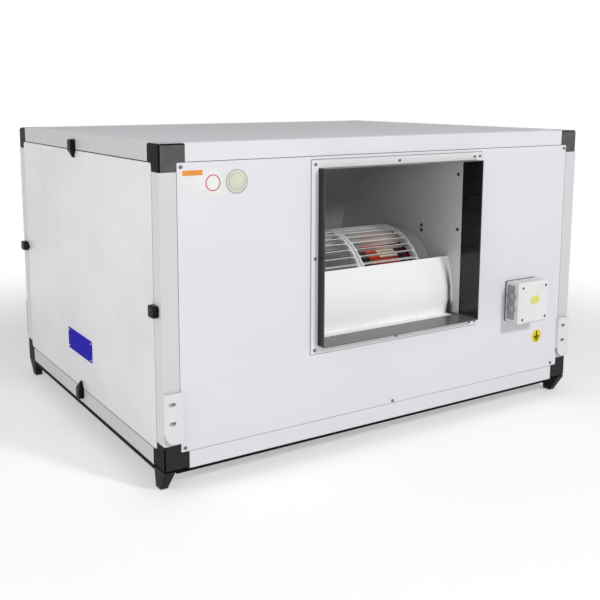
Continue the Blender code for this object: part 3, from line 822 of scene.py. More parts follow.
@dataclass(frozen=True)
class Palette:
    """Every finish of the cooler."""

    rail_x: Finish = ExtrudedPaint("rail_paint_x", (0.76, 0.755, 0.785), 0.40, along=Axis.X)
    # the side rails are the same white profile as the front and rear rails, coloured darker as painted shade
    rail_y_shaded: Finish = ExtrudedPaint("rail_paint_y_shaded", (0.57, 0.57, 0.575), 0.40, along=Axis.Y)
    post: Finish = ExtrudedPaint("post_paint", (0.66, 0.66, 0.675), 0.40, along=Axis.Z)
    bracket: Finish = ExtrudedPaint("bracket_paint", (0.76, 0.76, 0.78), 0.40, along=Axis.Z)
    front: Finish = PaintedSheet("front_coating", (0.77, 0.755, 0.80), 0.40)
    access: Finish = PaintedSheet("access_coating", (0.74, 0.74, 0.755), 0.26, cloud=0.045)
    roof: Finish = PaintedSheet("roof_coating", (0.68, 0.68, 0.71), 0.55, specular=0.20, dust=0.05)
    floor: Finish = PaintedSheet("floor_coating", (0.70, 0.70, 0.73), 0.40)
    black: Finish = MouldedPlastic("black_moulding", (0.008, 0.008, 0.009), 0.34, specular=0.08)
    foot: Finish = MouldedPlastic("foot_moulding", (0.009, 0.009, 0.008), 0.50, specular=0.12)
    rubber: Finish = MouldedPlastic("seal_rubber", (0.045, 0.045, 0.048), 0.70, scuff=0.5)
    sealant: Finish = MouldedPlastic("sealant_grey", (0.33, 0.33, 0.335), 0.60, scuff=0.2)
    # near-black strip: painted shadow line along the bottom edges
    shadow_line_strip: Finish = MouldedPlastic("shadow_line_strip", (0.004, 0.004, 0.004), 0.60, scuff=0.02, specular=0.06)
    sole: Finish = MouldedPlastic("foot_sole", (0.16, 0.17, 0.15), 0.75, scuff=0.6)
    # dark grey of the junction box's flanks: painted shade
    junction_field_shade: Finish = MouldedPlastic("junction_field_shade_moulding", (0.28, 0.28, 0.285), 0.50, flow=0.03)
    junction_cover: Finish = MouldedPlastic(
        "junction_cover_moulding", (0.80, 0.79, 0.78), 0.34, scuff=0.04, flow=0.01,
    )
    # the side plates are the wrapper's white sheet, coloured darker grey as painted shade, with painted shade
    # high up and round the inlet
    side_plate: Finish = HousingCoating(
        "side_plate_coating", (0.66, 0.66, 0.665), 0.42, shade_share=0.85, eye_shade=0.20,
    )
    flange: Finish = PaintedSheet("flange_coating", (0.82, 0.82, 0.84), 0.30, peel=0.00001)
    pad_frame: Finish = Galvanised("pad_frame_zinc", (0.62, 0.63, 0.64), 0.42, 0.85)
    # the wrapper carries painted shade high up and a painted shadow at its right end
    wrapper: Finish = HousingCoating("wrapper_coating", (0.95, 0.95, 0.95), 0.36, shade_share=0.45, end_shadow=0.85)
    spider: Finish = Galvanised("spider_zinc", (0.50, 0.51, 0.52), 0.40, 0.9)
    shaft: Finish = TurnedSteel("shaft_steel", (0.60, 0.60, 0.61), 0.25, 1.0)
    screw: Finish = TurnedSteel("screw_zinc", (0.20, 0.20, 0.205), 0.36, 0.9)
    rivet: Finish = TurnedSteel("rivet_zinc", (0.50, 0.50, 0.51), 0.34, 1.0)
    dark_screw: Finish = TurnedSteel("screw_black", (0.06, 0.06, 0.065), 0.40, 0.8)
    enamel: Finish = CastEnamel("motor_orange", (0.62, 0.06, 0.012), 0.38, 0.0)
    motor_label: Finish = PrintedFilm("motor_cream", (0.84, 0.72, 0.55), 0.45)
    motor_cover: Finish = MouldedPlastic("motor_cover", (0.02, 0.02, 0.022), 0.45)
    motor_collar: Finish = CastEnamel("motor_maroon", (0.26, 0.02, 0.06), 0.42, 0.0)
    plate_blue: Finish = PrintedFilm("plate_blue", (0.012, 0.004, 0.40), 0.50, lacquer=0.0, specular=0.04)
    film_white: Finish = PrintedFilm("film_white", (0.80, 0.81, 0.80), 0.42)
    film_orange: Finish = PrintedFilm("film_orange", (0.80, 0.29, 0.025), 0.40)
    film_red: Finish = PrintedFilm("film_red", (0.60, 0.02, 0.05), 0.40)
    film_green: Finish = PrintedFilm("film_green", (0.66, 0.68, 0.55), 0.40)
    film_grey: Finish = PrintedFilm("film_grey", (0.36, 0.37, 0.32), 0.40)
    film_yellow: Finish = PrintedFilm("film_yellow", (0.80, 0.63, 0.02), 0.45, lacquer=0.0, specular=0.2)
    film_lemon: Finish = PrintedFilm("film_lemon", (0.74, 0.74, 0.14), 0.40)
    film_black: Finish = PrintedFilm("film_black", (0.016, 0.012, 0.004), 0.50, lacquer=0.0, specular=0.1)


PALETTE = Palette()


class Shape:
    """Meshes made with bmesh, each a closed body at the origin unless it says otherwise."""

    @staticmethod
    def joined(parts: Iterable[tuple[bmesh.types.BMesh, Matrix]]) -> bmesh.types.BMesh:
        """Copies of shapes, each moved by its matrix, in one bmesh.

        Args:
            parts: Shapes and their matrices. A shape may come more than once.

        Returns:
            The joined shape.
        """
        whole = bmesh.new()
        for part, matrix in parts:
            mesh = bpy.data.meshes.new("part")
            part.to_mesh(mesh)
            mesh.transform(matrix)
            if matrix.determinant() < 0:
                mesh.flip_normals()
            whole.from_mesh(mesh)
            bpy.data.meshes.remove(mesh)
        return whole

    @staticmethod
    def box(low: Sequence[float], high: Sequence[float], bevel: float = 0.0) -> bmesh.types.BMesh:
        """A box between two corners, with its edges rounded.

        Args:
            low: The lowest corner.
            high: The highest corner.
            bevel: The width of the rounding.

        Returns:
            The box.
        """
        low, high = Vector(low), Vector(high)
        made = bmesh.new()
        bmesh.ops.create_cube(made, size=1.0)
        bmesh.ops.scale(made, vec=high - low, verts=made.verts)
        bmesh.ops.translate(made, vec=(low + high) / 2, verts=made.verts)
        if bevel:
            bmesh.ops.bevel(made, geom=list(made.edges), offset=bevel, segments=2, affect="EDGES")
        return made

    @staticmethod
    def slab(outline: Sequence[Point], thickness: float, bevel: float = 0.0) -> bmesh.types.BMesh:
        """A flat plate that lies on Z = 0, with its top edge rounded.

        Args:
            outline: The plate's outline, anticlockwise in X and Y.
            thickness: Its height.
            bevel: The width of the top edge's rounding.

        Returns:
            The plate.
        """
        made = bmesh.new()
        face = made.faces.new([made.verts.new((*point, 0.0)) for point in outline])
        raised = bmesh.ops.extrude_face_region(made, geom=[face])["geom"]
        top = [item for item in raised if isinstance(item, bmesh.types.BMVert)]
        bmesh.ops.translate(made, vec=(0.0, 0.0, thickness), verts=top)
        bmesh.ops.recalc_face_normals(made, faces=made.faces)
        if bevel:
            rim = [edge for edge in made.edges if all(vert in top for vert in edge.verts)]
            bmesh.ops.bevel(made, geom=rim, offset=bevel, segments=2, affect="EDGES")
        return made

    @staticmethod
    def lathe(profile: Sequence[Point], steps: int) -> bmesh.types.BMesh:
        """A profile of (radius, height) points turned about Z.

        Args:
            profile: The points, from the axis at the bottom to the axis at the top.
            steps: Facets round the axis.

        Returns:
            The turned body.
        """
        made = bmesh.new()
        verts = [made.verts.new((radius, 0.0, height)) for radius, height in profile]
        edges = [made.edges.new(pair) for pair in zip(verts, verts[1:])]
        bmesh.ops.spin(
            made, geom=[*verts, *edges], cent=(0, 0, 0), axis=(0, 0, 1), angle=math.tau, steps=steps,
            use_duplicate=False,
        )
        bmesh.ops.remove_doubles(made, verts=made.verts, dist=0.000002)
        bmesh.ops.recalc_face_normals(made, faces=made.faces)
        return made

    @staticmethod
    def ring(outer: float, inner: float, thickness: float, steps: int = 40) -> bmesh.types.BMesh:
        """A flat ring that lies on Z = 0.

        Args:
            outer: Its outer radius.
            inner: Its inner radius.
            thickness: Its height.
            steps: Facets round the axis.

        Returns:
            The ring.
        """
        profile = [(inner, 0.0), (outer, 0.0), (outer, thickness), (inner, thickness), (inner, 0.0)]
        return Shape.lathe(profile, steps)

    @staticmethod
    def circle(radius: float, count: int = 40) -> list[Point]:
        """Points round a circle about the origin.

        Args:
            radius: Its radius.
            count: The points.

        Returns:
            The points, anticlockwise.
        """
        turns = [math.tau * i / count for i in range(count)]
        return [(radius * math.cos(turn), radius * math.sin(turn)) for turn in turns]

    @staticmethod
    def rounded(width: float, height: float, radius: float, points: int = 5) -> list[Point]:
        """A rectangle with round corners, centred on the origin.

        Args:
            width: Its size in X.
            height: Its size in Y.
            radius: Its corners' radius.
            points: Points on each corner.

        Returns:
            The points, anticlockwise.
        """
        outline = []
        for corner, (sx, sy) in enumerate(((1, 1), (-1, 1), (-1, -1), (1, -1))):
            centre = (sx * (width / 2 - radius), sy * (height / 2 - radius))
            for i in range(points):
                turn = (corner + i / (points - 1)) * math.pi / 2
                outline.append((centre[0] + radius * math.cos(turn), centre[1] + radius * math.sin(turn)))
        return outline

    @staticmethod
    def loop(outline: Sequence[Point], section: Sequence[Point]) -> bmesh.types.BMesh:
        """A section swept round a closed outline in the XY plane.

        Args:
            outline: The path, anticlockwise.
            section: (outwards, up) points round the section.

        Returns:
            The swept ring.
        """
        made = bmesh.new()
        count = len(outline)
        rows = []
        for i, point in enumerate(outline):
            before, after = Vector(outline[i - 1]), Vector(outline[(i + 1) % count])
            along = (after - before).normalized()
            out = Vector((along.y, -along.x))
            rows.append([made.verts.new((*(Vector(point) + out * u), v)) for u, v in section])
        for i in range(count):
            near, far = rows[i], rows[(i + 1) % count]
            for j in range(len(section)):
                k = (j + 1) % len(section)
                made.faces.new((near[j], far[j], far[k], near[k]))
        bmesh.ops.recalc_face_normals(made, faces=made.faces)
        return made


class Facing(Enum):
    """The way that a flat fitting looks, with its own X to the right and its Y up."""

    FRONT = (1, 0, 0), (0, 0, 1)
    REAR = (-1, 0, 0), (0, 0, 1)
    LEFT = (0, -1, 0), (0, 0, 1)
    RIGHT = (0, 1, 0), (0, 0, 1)

    def at(self, place: Sequence[float], turn: float = 0.0) -> Matrix:
        """The matrix that seats a fitting.

        Args:
            place: Where its origin goes.
            turn: Its turn about its own Z.

        Returns:
            The matrix.
        """
        right, up = (Vector(v) for v in self.value)
        columns = (right, up, right.cross(up))
        turned = Matrix([[column[row] for column in columns] for row in range(3)]).to_4x4()
        return Matrix.Translation(place) @ turned @ Matrix.Rotation(turn, 4, "Z")


def add_object(name: str, data: bpy.types.ID) -> bpy.types.Object:
    """Puts an object into the scene.

    Args:
        name: Its name.
        data: Its mesh, lamp or camera.

    Returns:
        The object.
    """
    made = bpy.data.objects.new(name, data)
    bpy.context.scene.collection.objects.link(made)
    return made


def piece(
    name: str, shape: bmesh.types.BMesh, finish: Finish, body: Body = Body.CABINET,
    matrix: Matrix | None = None,
) -> bpy.types.Object:
    """Makes one named piece that rides on a body.

    Args:
        name: The piece's name.
        shape: Its mesh.
        finish: Its finish.
        body: The body that it moves with.
        matrix: Where it goes, or None if the shape lies in place already.

    Returns:
        The piece.
    """
    mesh = bpy.data.meshes.new(name)
    if matrix is not None:
        bmesh.ops.transform(shape, matrix=matrix, verts=shape.verts)
    shape.to_mesh(mesh)
    shape.free()
    mesh.materials.append(finish.material())
    mesh.shade_smooth()
    mesh.set_sharp_from_angle(angle=SMOOTH_ANGLE)
    made = add_object(name, mesh)
    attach(made, body.value)
    return made


def dress(nodes: Iterable[str], finish: Finish, bevel: float = 0.0) -> None:
    """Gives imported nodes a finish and, where asked, softly rounded edges.

    Args:
        nodes: The nodes' names.
        finish: Their finish.
        bevel: The rounding's width, or 0 for none.
    """
    for name in nodes:
        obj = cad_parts[name]
        obj.data.materials.clear()
        obj.data.materials.append(finish.material())
        if bevel:
            weld = obj.modifiers.new("weld", "WELD")
            weld.merge_threshold = WELD_DISTANCE
            edges = obj.modifiers.new("edges", "BEVEL")
            edges.width = bevel
            edges.segments = 2
            edges.limit_method = "ANGLE"
            edges.angle_limit = BEVEL_ANGLE
            edges.harden_normals = True


def soften(obj: bpy.types.Object) -> None:
    """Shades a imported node's curved faces smooth, and keeps its corners sharp.

    Args:
        obj: The node's object.
    """
    tree = bpy.data.node_groups.get("soft_shading") or soft_shading()
    modifier = obj.modifiers.new("soft_shading", "NODES")
    modifier.node_group = tree


def soft_shading() -> bpy.types.NodeTree:
    """The node group that welds a mesh and smooths it up to an angle.

    Returns:
        The group.
    """
    tree = bpy.data.node_groups.new("soft_shading", "GeometryNodeTree")
    for direction in ("INPUT", "OUTPUT"):
        tree.interface.new_socket(name="Geometry", in_out=direction, socket_type="NodeSocketGeometry")
    wiring = Wiring(tree)
    start = wiring.signal("NodeGroupInput")
    weld = {"Geometry": start, "Distance": WELD_DISTANCE}
    welded = wiring.signal("GeometryNodeMergeByDistance", inputs=weld)
    angle = wiring.signal("GeometryNodeInputMeshEdgeAngle")
    sharp = wiring.signal("ShaderNodeMath", {"operation": "GREATER_THAN"}, {0: angle, 1: SMOOTH_ANGLE})
    cornered = wiring.signal(
        "GeometryNodeSetShadeSmooth", {"domain": "EDGE"},
        {"Geometry": welded, "Selection": sharp, "Shade Smooth": False},
    )
    smooth = wiring.signal("GeometryNodeSetShadeSmooth", {"domain": "FACE"}, {"Geometry": cornered})
    wiring.node("NodeGroupOutput", inputs={"Geometry": smooth})
    return tree


@dataclass
class Screw:
    """A pan-head screw with a cross recess."""

    radius: float = 0.0036
    height: float = 0.0020
    slot: float = 0.0032
    slot_width: float = 0.0010
    depth: float = 0.0009

    def shape(self) -> bmesh.types.BMesh:
        """The head, standing on Z = 0, with its recess cut into the top."""
        dome = [(0.0, 0.0)]
        dome += [(self.radius, 0.0), (self.radius, self.height * 0.35)]
        dome += [(self.radius * 0.86, self.height * 0.80), (self.radius * 0.62, self.height)]
        head = Shape.lathe([*dome, (0.0, self.height)], 20)
        upper = [vert for vert in head.verts if vert.co.z > self.height * 0.99]
        hub = [vert for vert in upper if vert.co.xy.length < WELD_DISTANCE]
        bmesh.ops.dissolve_verts(head, verts=hub)
        wide = [face for face in head.faces if len(face.verts) > 8]
        top = max(wide, key=lambda face: face.calc_center_median().z)
        rim = list(top.edges)
        head.faces.remove(top)
        reach, half = self.slot / 2, self.slot_width / 2
        quarter = [(reach, -half), (reach, half), (half, half)]
        points = []
        for turn in range(4):
            spin = Matrix.Rotation(turn * math.pi / 2, 2)
            points += [spin @ Vector(point) for point in quarter]
        upper = [head.verts.new((*point, self.height)) for point in points]
        lower = [head.verts.new((*(point * 0.7), self.height - self.depth)) for point in points]
        count = len(points)
        cross = [head.edges.new((upper[i], upper[(i + 1) % count])) for i in range(count)]
        bmesh.ops.triangle_fill(head, use_beauty=True, edges=rim + cross)
        for i in range(count):
            j = (i + 1) % count
            head.faces.new((upper[i], upper[j], lower[j], lower[i]))
        head.faces.new(lower)
        inside = [f for f in head.faces if f.calc_center_median().z > self.height * 0.99]
        middle = [f for f in inside if f.calc_center_median().xy.length < half]
        bmesh.ops.delete(head, geom=middle, context="FACES_ONLY")
        bmesh.ops.recalc_face_normals(head, faces=head.faces)
        return head

    def set(self, places: Sequence[Matrix], seed: int) -> bmesh.types.BMesh:
        """Heads at several places, each turned its own way.

        Args:
            places: Their seats.
            seed: The seed of their turns.

        Returns:
            The joined heads.
        """
        dice = random.Random(seed)
        head = self.shape()
        turned = [place @ Matrix.Rotation(dice.uniform(0, math.pi / 2), 4, "Z") for place in places]
        joined = Shape.joined((head, matrix) for matrix in turned)
        head.free()
        return joined


@dataclass
class Rivet:
    """A domed blind rivet with the pit of its broken stem."""

    radius: float = 0.0032
    height: float = 0.0013
    stem: float = 0.0009

    def set(self, places: Sequence[Matrix]) -> bmesh.types.BMesh:
        """Rivet heads at several places.

        Args:
            places: Their seats.

        Returns:
            The joined heads.
        """
        profile = [(0.0, 0.0), (self.radius, 0.0), (self.radius * 0.9, self.height * 0.5)]
        profile += [(self.radius * 0.6, self.height), (self.stem, self.height)]
        profile += [(self.stem, self.height * 0.6), (0.0, self.height * 0.65)]
        head = Shape.lathe(profile, 16)
        joined = Shape.joined((head, matrix) for matrix in places)
        head.free()
        return joined


@dataclass
class Framework:
    """The white members, the black corner blocks, the feet, and black strips along the lower edge, a painted
    shadow line under the cabinet.
    """

    strip_lip: float = 0.0002
    strip_drop: float = 0.0045
    side_strip_drop: float = 0.0078
    strip_proud: float = 0.0006
    strip_depth: float = 0.012
    strip_gap: float = 0.0005
    strip_seat: float = 0.0001
    member_edge: float = 0.0008
    block_edge: float = 0.0006
    sole_height: float = 0.004
    sole_proud: float = 0.0004
    sole_edge: float = 0.0008

    def build(self) -> list[bpy.types.Object]:
        """Dresses the members and adds the strips and soles."""
        dress([f"{level}_rail_{end}" for level in LEVELS for end in ENDS], PALETTE.rail_x, self.member_edge)
        rails = [f"{level}_rail_{side}" for level in LEVELS for side in SIDES]
        # the side rails take the darker, painted-shade copy of the profile paint
        dress(rails, PALETTE.rail_y_shaded, self.member_edge)
        corners = [f"{end}_{side}" for end in ENDS for side in SIDES]
        dress([f"post_{corner}" for corner in corners], PALETTE.post, self.member_edge)
        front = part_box("corner_block_top_front_left")[0].y
        # the corner blocks' outlet-side faces carry a painted highlight
        block = FrontHighlightPlastic("block_moulding", (0.005, 0.005, 0.006), 0.42, specular=0.05, front=front)
        blocks = [f"corner_block_{level}_{corner}" for level in LEVELS for corner in corners]
        dress(blocks, block, self.block_edge)
        dress([f"foot_{corner}" for corner in corners], PALETTE.foot, self.block_edge)
        return [*self._shadow_line_strips(), *self._soles()]

    def _shadow_line_strips(self) -> list[bpy.types.Object]:
        """A black angle under the outer edge of each bottom rail, from foot to foot: a painted shadow line
        along the cabinet's bottom edge.
        """
        seat = self.strip_seat
        facings = {"front": Facing.FRONT, "rear": Facing.REAR, "left": Facing.LEFT, "right": Facing.RIGHT}
        made = []
        for edge, facing in facings.items():
            low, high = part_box(f"bottom_rail_{edge}")
            start, stop = self._between_feet(edge)
            drop = self.side_strip_drop if edge in SIDES else self.strip_drop
            section = [
                (self.strip_depth, -seat), (-seat, -seat), (-seat, self.strip_lip),
                (-self.strip_proud, self.strip_lip), (-self.strip_proud, -drop), (self.strip_depth, -drop),
            ]
            strip = Shape.slab(section, stop - start)
            lay = Matrix(((0, 0, 1, 0), (0, 1, 0, 0), (-1, 0, 0, 0), (0, 0, 0, 1)))
            corner = {
                "front": (start, low.y, low.z), "rear": (stop, high.y, low.z),
                "left": (low.x, stop, low.z), "right": (high.x, start, low.z),
            }[edge]
            matrix = facing.at(corner) @ lay
            made.append(piece(f"shadow_line_strip_{edge}", strip, PALETTE.shadow_line_strip, matrix=matrix))
        return made

    def _between_feet(self, edge: str) -> Point:
        """Where the strip of an edge starts and ends, just clear of the feet.

        Args:
            edge: The bottom rail's edge.

        Returns:
            Its two ends, along X at the front and rear, or along Y at the sides.
        """
        if edge in ENDS:
            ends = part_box(f"foot_{edge}_left")[1].x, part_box(f"foot_{edge}_right")[0].x
        else:
            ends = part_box(f"foot_front_{edge}")[1].y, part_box(f"foot_rear_{edge}")[0].y
        return ends[0] + self.strip_gap, ends[1] - self.strip_gap

    def _soles(self) -> list[bpy.types.Object]:
        """A pale rubber sole round the lower end of each foot."""
        made = []
        for end in ENDS:
            for side in SIDES:
                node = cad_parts[f"foot_{end}_{side}"]
                points = [v.co for v in node.data.vertices if v.co.z < self.sole_height]
                low = Vector([min(p[i] for p in points) - self.sole_proud for i in range(3)])
                high = Vector([max(p[i] for p in points) + self.sole_proud for i in range(3)])
                low.z = 0.0
                high.z = self.sole_height
                sole = Shape.box(low, high, self.sole_edge)
                made.append(piece(f"foot_sole_{end}_{side}", sole, PALETTE.sole))
        return made


@dataclass
class Panels:
    """The five panels, their seals, the front panel's screws and the bare plates and films."""

    panel_edge: float = 0.0007
    seal_width: float = 0.0018
    seal_depth: float = 0.0015
    seal_root: float = 0.004
    seal_gap: float = 0.0002
    seal_corner: float = 0.006
    screw_inset: float = 0.0075
    lower_right_inset: float = 0.019
    lower_middle_shift: float = -0.006
    plate_rear: float = 0.3665
    plate_length: float = 0.1535
    plate_bottom: float = 0.109
    plate_height: float = 0.049
    plate_thickness: float = 0.0009
    plate_corner: float = 0.004
    plate_edge: float = 0.0003
    plate_rivet_inset: float = 0.006
    film_thickness: float = 0.00025
    sheet_centre: Point = (0.0858, 0.5278)
    sheet_size: Point = (0.087, 0.049)
    bar_centre: Point = (0.0642, 0.5470)
    bar_size: Point = (0.040, 0.0092)
    ring_centre: Point = (0.1049, 0.5274)
    ring_radii: Point = (0.0150, 0.0132)
    badge_centre: Point = (0.1538, 0.5273)
    badge_rim: Point = (0.0225, 0.0208)
    badge_ring: Point = (0.0160, 0.0152)
    earth_centre: Point = (0.965, 0.116)
    earth_radius: float = 0.0155
    earth_bars: tuple[Place, ...] = (
        (0.0058, 0.0036, 0.0130), (-0.0010, 0.0180, 0.0034),
        (-0.0056, 0.0120, 0.0032), (-0.0100, 0.0062, 0.0032),
    )

    def build(self) -> list[bpy.types.Object]:
        """Dresses the panels and adds what lies on them."""
        dress(["front_panel"], PALETTE.front, self.panel_edge)
        dress(["roof_panel"], PALETTE.roof, self.panel_edge)
        dress(["floor_panel"], PALETTE.floor, self.panel_edge)
        dress(["access_panel_left", "access_panel_right"], PALETTE.access, self.panel_edge)
        made = [self._seal(side) for side in SIDES]
        made.append(self._panel_screws())
        made += self._name_plate()
        made += self._front_films()
        return made

    def _seal(self, side: str) -> bpy.types.Object:
        """The rubber seal in the gap round an access panel.

        Args:
            side: "left" or "right".

        Returns:
            The seal.
        """
        low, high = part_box(f"access_panel_{side}")
        facing = Facing.LEFT if side == "left" else Facing.RIGHT
        face = low.x if side == "left" else high.x
        width, height = high.y - low.y, high.z - low.z
        half, root, depth = self.seal_width / 2, -self.seal_root, -self.seal_depth
        grow = half + self.seal_gap
        path = Shape.rounded(width + 2 * grow, height + 2 * grow, self.seal_corner + grow, 6)
        section = [(-half, root), (half, root), (half, depth), (0, depth + half / 2), (-half, depth)]
        matrix = facing.at((face, (low.y + high.y) / 2, (low.z + high.z) / 2))
        seal = Shape.loop(path, section)
        return piece(f"panel_seal_{side}", seal, PALETTE.rubber, matrix=matrix)

    def _panel_screws(self) -> bpy.types.Object:
        """The front panel's five screws."""
        low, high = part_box("front_panel")
        left, right = low.x + self.screw_inset, high.x - self.screw_inset
        bottom, top = low.z + self.screw_inset, high.z - self.screw_inset
        middle = (low.x + high.x) / 2 + self.lower_middle_shift
        spots = [(left, bottom), (left, top), (right, top), (high.x - self.lower_right_inset, bottom)]
        spots.append((middle, low.z + self.screw_inset / 2 + 0.001))
        seats = [Facing.FRONT.at((x, low.y, z)) for x, z in spots]
        return piece("front_panel_screws", Screw().set(seats, 11), PALETTE.screw)

    def _name_plate(self) -> list[bpy.types.Object]:
        """The bare blue plate on the left access panel, and its corner rivets."""
        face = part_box("access_panel_left")[0].x
        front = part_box("post_front_left")[0].y + self.plate_rear
        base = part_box("bottom_rail_left")[0].z + self.plate_bottom
        centre = Vector((face, front + self.plate_length / 2, base + self.plate_height / 2))
        outline = Shape.rounded(self.plate_length, self.plate_height, self.plate_corner)
        plate = Shape.slab(outline, self.plate_thickness, self.plate_edge)
        made = [piece("name_plate", plate, PALETTE.plate_blue, matrix=Facing.LEFT.at(centre))]
        inset = self.plate_rivet_inset
        reach = (self.plate_length / 2 - inset, self.plate_height / 2 - inset)
        seats = [
            Facing.LEFT.at(centre + Vector((-self.plate_thickness, sy * reach[0], sz * reach[1])))
            for sy in (-1, 1) for sz in (-1, 1)
        ]
        rivets = Rivet(0.0024, 0.0010, 0.0006).set(seats)
        made.append(piece("name_plate_rivets", rivets, PALETTE.rivet))
        return made

    def _front_films(self) -> list[bpy.types.Object]:
        """The bare films at the front panel's upper left corner, and the yellow earth mark."""
        layer = self.film_thickness
        left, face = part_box("post_front_left")[0].x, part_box("front_panel")[0].y
        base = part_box("bottom_rail_front")[0].z
        sheet = Shape.slab(Shape.rounded(*self.sheet_size, 0.002), layer)
        bar = Shape.slab(Shape.rounded(*self.bar_size, 0.001), layer)
        badge = Shape.slab(Shape.circle(self.badge_rim[0]), layer)
        disc = Shape.slab(Shape.circle(self.earth_radius), layer)
        films = (
            ("film_sheet", sheet, PALETTE.film_white, self.sheet_centre, 0),
            ("film_bar", bar, PALETTE.film_orange, self.bar_centre, 1),
            ("film_ring", Shape.ring(*self.ring_radii, layer), PALETTE.film_red, self.ring_centre, 1),
            ("film_badge", badge, PALETTE.film_green, self.badge_centre, 0),
            ("film_badge_rim", Shape.ring(*self.badge_rim, layer), PALETTE.film_grey, self.badge_centre, 1),
            ("film_badge_ring", Shape.ring(*self.badge_ring, layer), PALETTE.film_grey, self.badge_centre, 1),
            ("earth_mark", disc, PALETTE.film_yellow, self.earth_centre, 0),
            ("earth_mark_symbol", self._earth_symbol(layer), PALETTE.film_black, self.earth_centre, 1),
        )
        made = []
        for name, shape, finish, (x, z), level in films:
            matrix = Facing.FRONT.at((left + x, face - level * layer, base + z))
            made.append(piece(name, shape, finish, matrix=matrix))
        return made

    def _earth_symbol(self, thickness: float) -> bmesh.types.BMesh:
        """The plain earth symbol: a stem and three bars.

        Args:
            thickness: The film's thickness.

        Returns:
            The symbol.
        """
        slabs = []
        for up, width, height in self.earth_bars:
            slab = Shape.slab(Shape.rounded(width, height, 0.0002, 2), thickness)
            slabs.append((slab, Matrix.Translation((0.0, up, 0.0))))
        return Shape.joined(slabs)


@dataclass
class LockKnobs:
    """The panel knobs, and the domed cap on each one's pivot."""

    pivot: float = 0.0125
    cap_radius: float = 0.0058
    cap_height: float = 0.0007
    cap_sink: float = 0.0005

    def build(self) -> list[bpy.types.Object]:
        """Dresses the knobs and caps them."""
        spots = {"top": (0, 0, -1), "bottom": (0, 0, 1), "front": (0, 1, 0), "rear": (0, -1, 0)}
        dress([f"lock_knob_{spot}_{side}" for spot in spots for side in SIDES], PALETTE.black)
        profile = [(0.0, -self.cap_sink), (self.cap_radius, -self.cap_sink), (self.cap_radius, 0.0)]
        for step in range(1, 6):
            turn = step / 6 * math.pi / 2
            profile.append((self.cap_radius * math.cos(turn), self.cap_height * math.sin(turn)))
        profile.append((0.0, self.cap_height))
        cap = Shape.lathe(profile, 24)
        made = []
        for side in SIDES:
            seats = []
            for spot, inward in spots.items():
                low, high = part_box(f"lock_knob_{spot}_{side}")
                place = (low + high) / 2
                for axis, sign in enumerate(inward):
                    if sign:
                        place[axis] = (low if sign > 0 else high)[axis] + sign * self.pivot
                place.x = low.x if side == "left" else high.x
                facing = Facing.LEFT if side == "left" else Facing.RIGHT
                seats.append(facing.at(place))
            caps = Shape.joined((cap, matrix) for matrix in seats)
            made.append(piece(f"knob_caps_{side}", caps, PALETTE.black))
        cap.free()
        return made


@dataclass
class AirOutlet:
    """The dark sleeve and the screwed flange of the outlet."""

    bead_width: float = 0.0022
    bead_rise: float = 0.0012
    bead_overlap: float = 0.0002
    flange_edge: float = 0.0004
    column_shares: Point = (0.48, 0.965)

    def build(self) -> list[bpy.types.Object]:
        """Dresses the sleeve and the flange, and screws the flange down."""
        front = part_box("outlet_sleeve")[0]
        # the sleeve's floor is lightened by dust and by painted light
        sleeve = LiningPaint("sleeve_paint", (0.012, 0.012, 0.013), 0.22, edge=front.y, floor=front.z)
        dress(["outlet_sleeve"], sleeve)
        dress(["outlet_flange"], PALETTE.flange, self.flange_edge)
        return [self._flange_screws(), self._bead()]

    def _bead(self) -> bpy.types.Object:
        """A thin grey bead of sealant round the flange, against the front panel."""
        low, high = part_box("outlet_flange")
        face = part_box("front_panel")[0].y
        path = Shape.rounded(high.x - low.x, high.z - low.z, 0.001, 3)
        width, rise, inner = self.bead_width, self.bead_rise, -self.bead_overlap
        section = [(inner, 0.0), (width, 0.0), (width * 0.7, rise * 0.7), (inner, rise)]
        matrix = Facing.FRONT.at(((low.x + high.x) / 2, face, (low.z + high.z) / 2))
        return piece("flange_bead", Shape.loop(path, section), PALETTE.sealant, matrix=matrix)

    def _flange_screws(self) -> bpy.types.Object:
        """Screws along the middle of the flange's four strips."""
        low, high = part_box("outlet_flange")
        strip = (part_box("outlet_sleeve")[0].x - low.x) / 2
        left, right = low.x + strip, high.x - strip
        bottom, top = low.z + strip, high.z - strip
        face = low.y
        rows = [bottom, (bottom + top) / 2, top]
        columns = [left + (right - left) * share for share in self.column_shares]
        spots = [(x, z) for x in (left, right) for z in rows]
        spots += [(x, z) for x in columns for z in (bottom, top)]
        seats = [Facing.FRONT.at((x, face, z)) for x, z in spots]
        return piece("flange_screws", Screw(0.0034).set(seats, 23), PALETTE.screw)


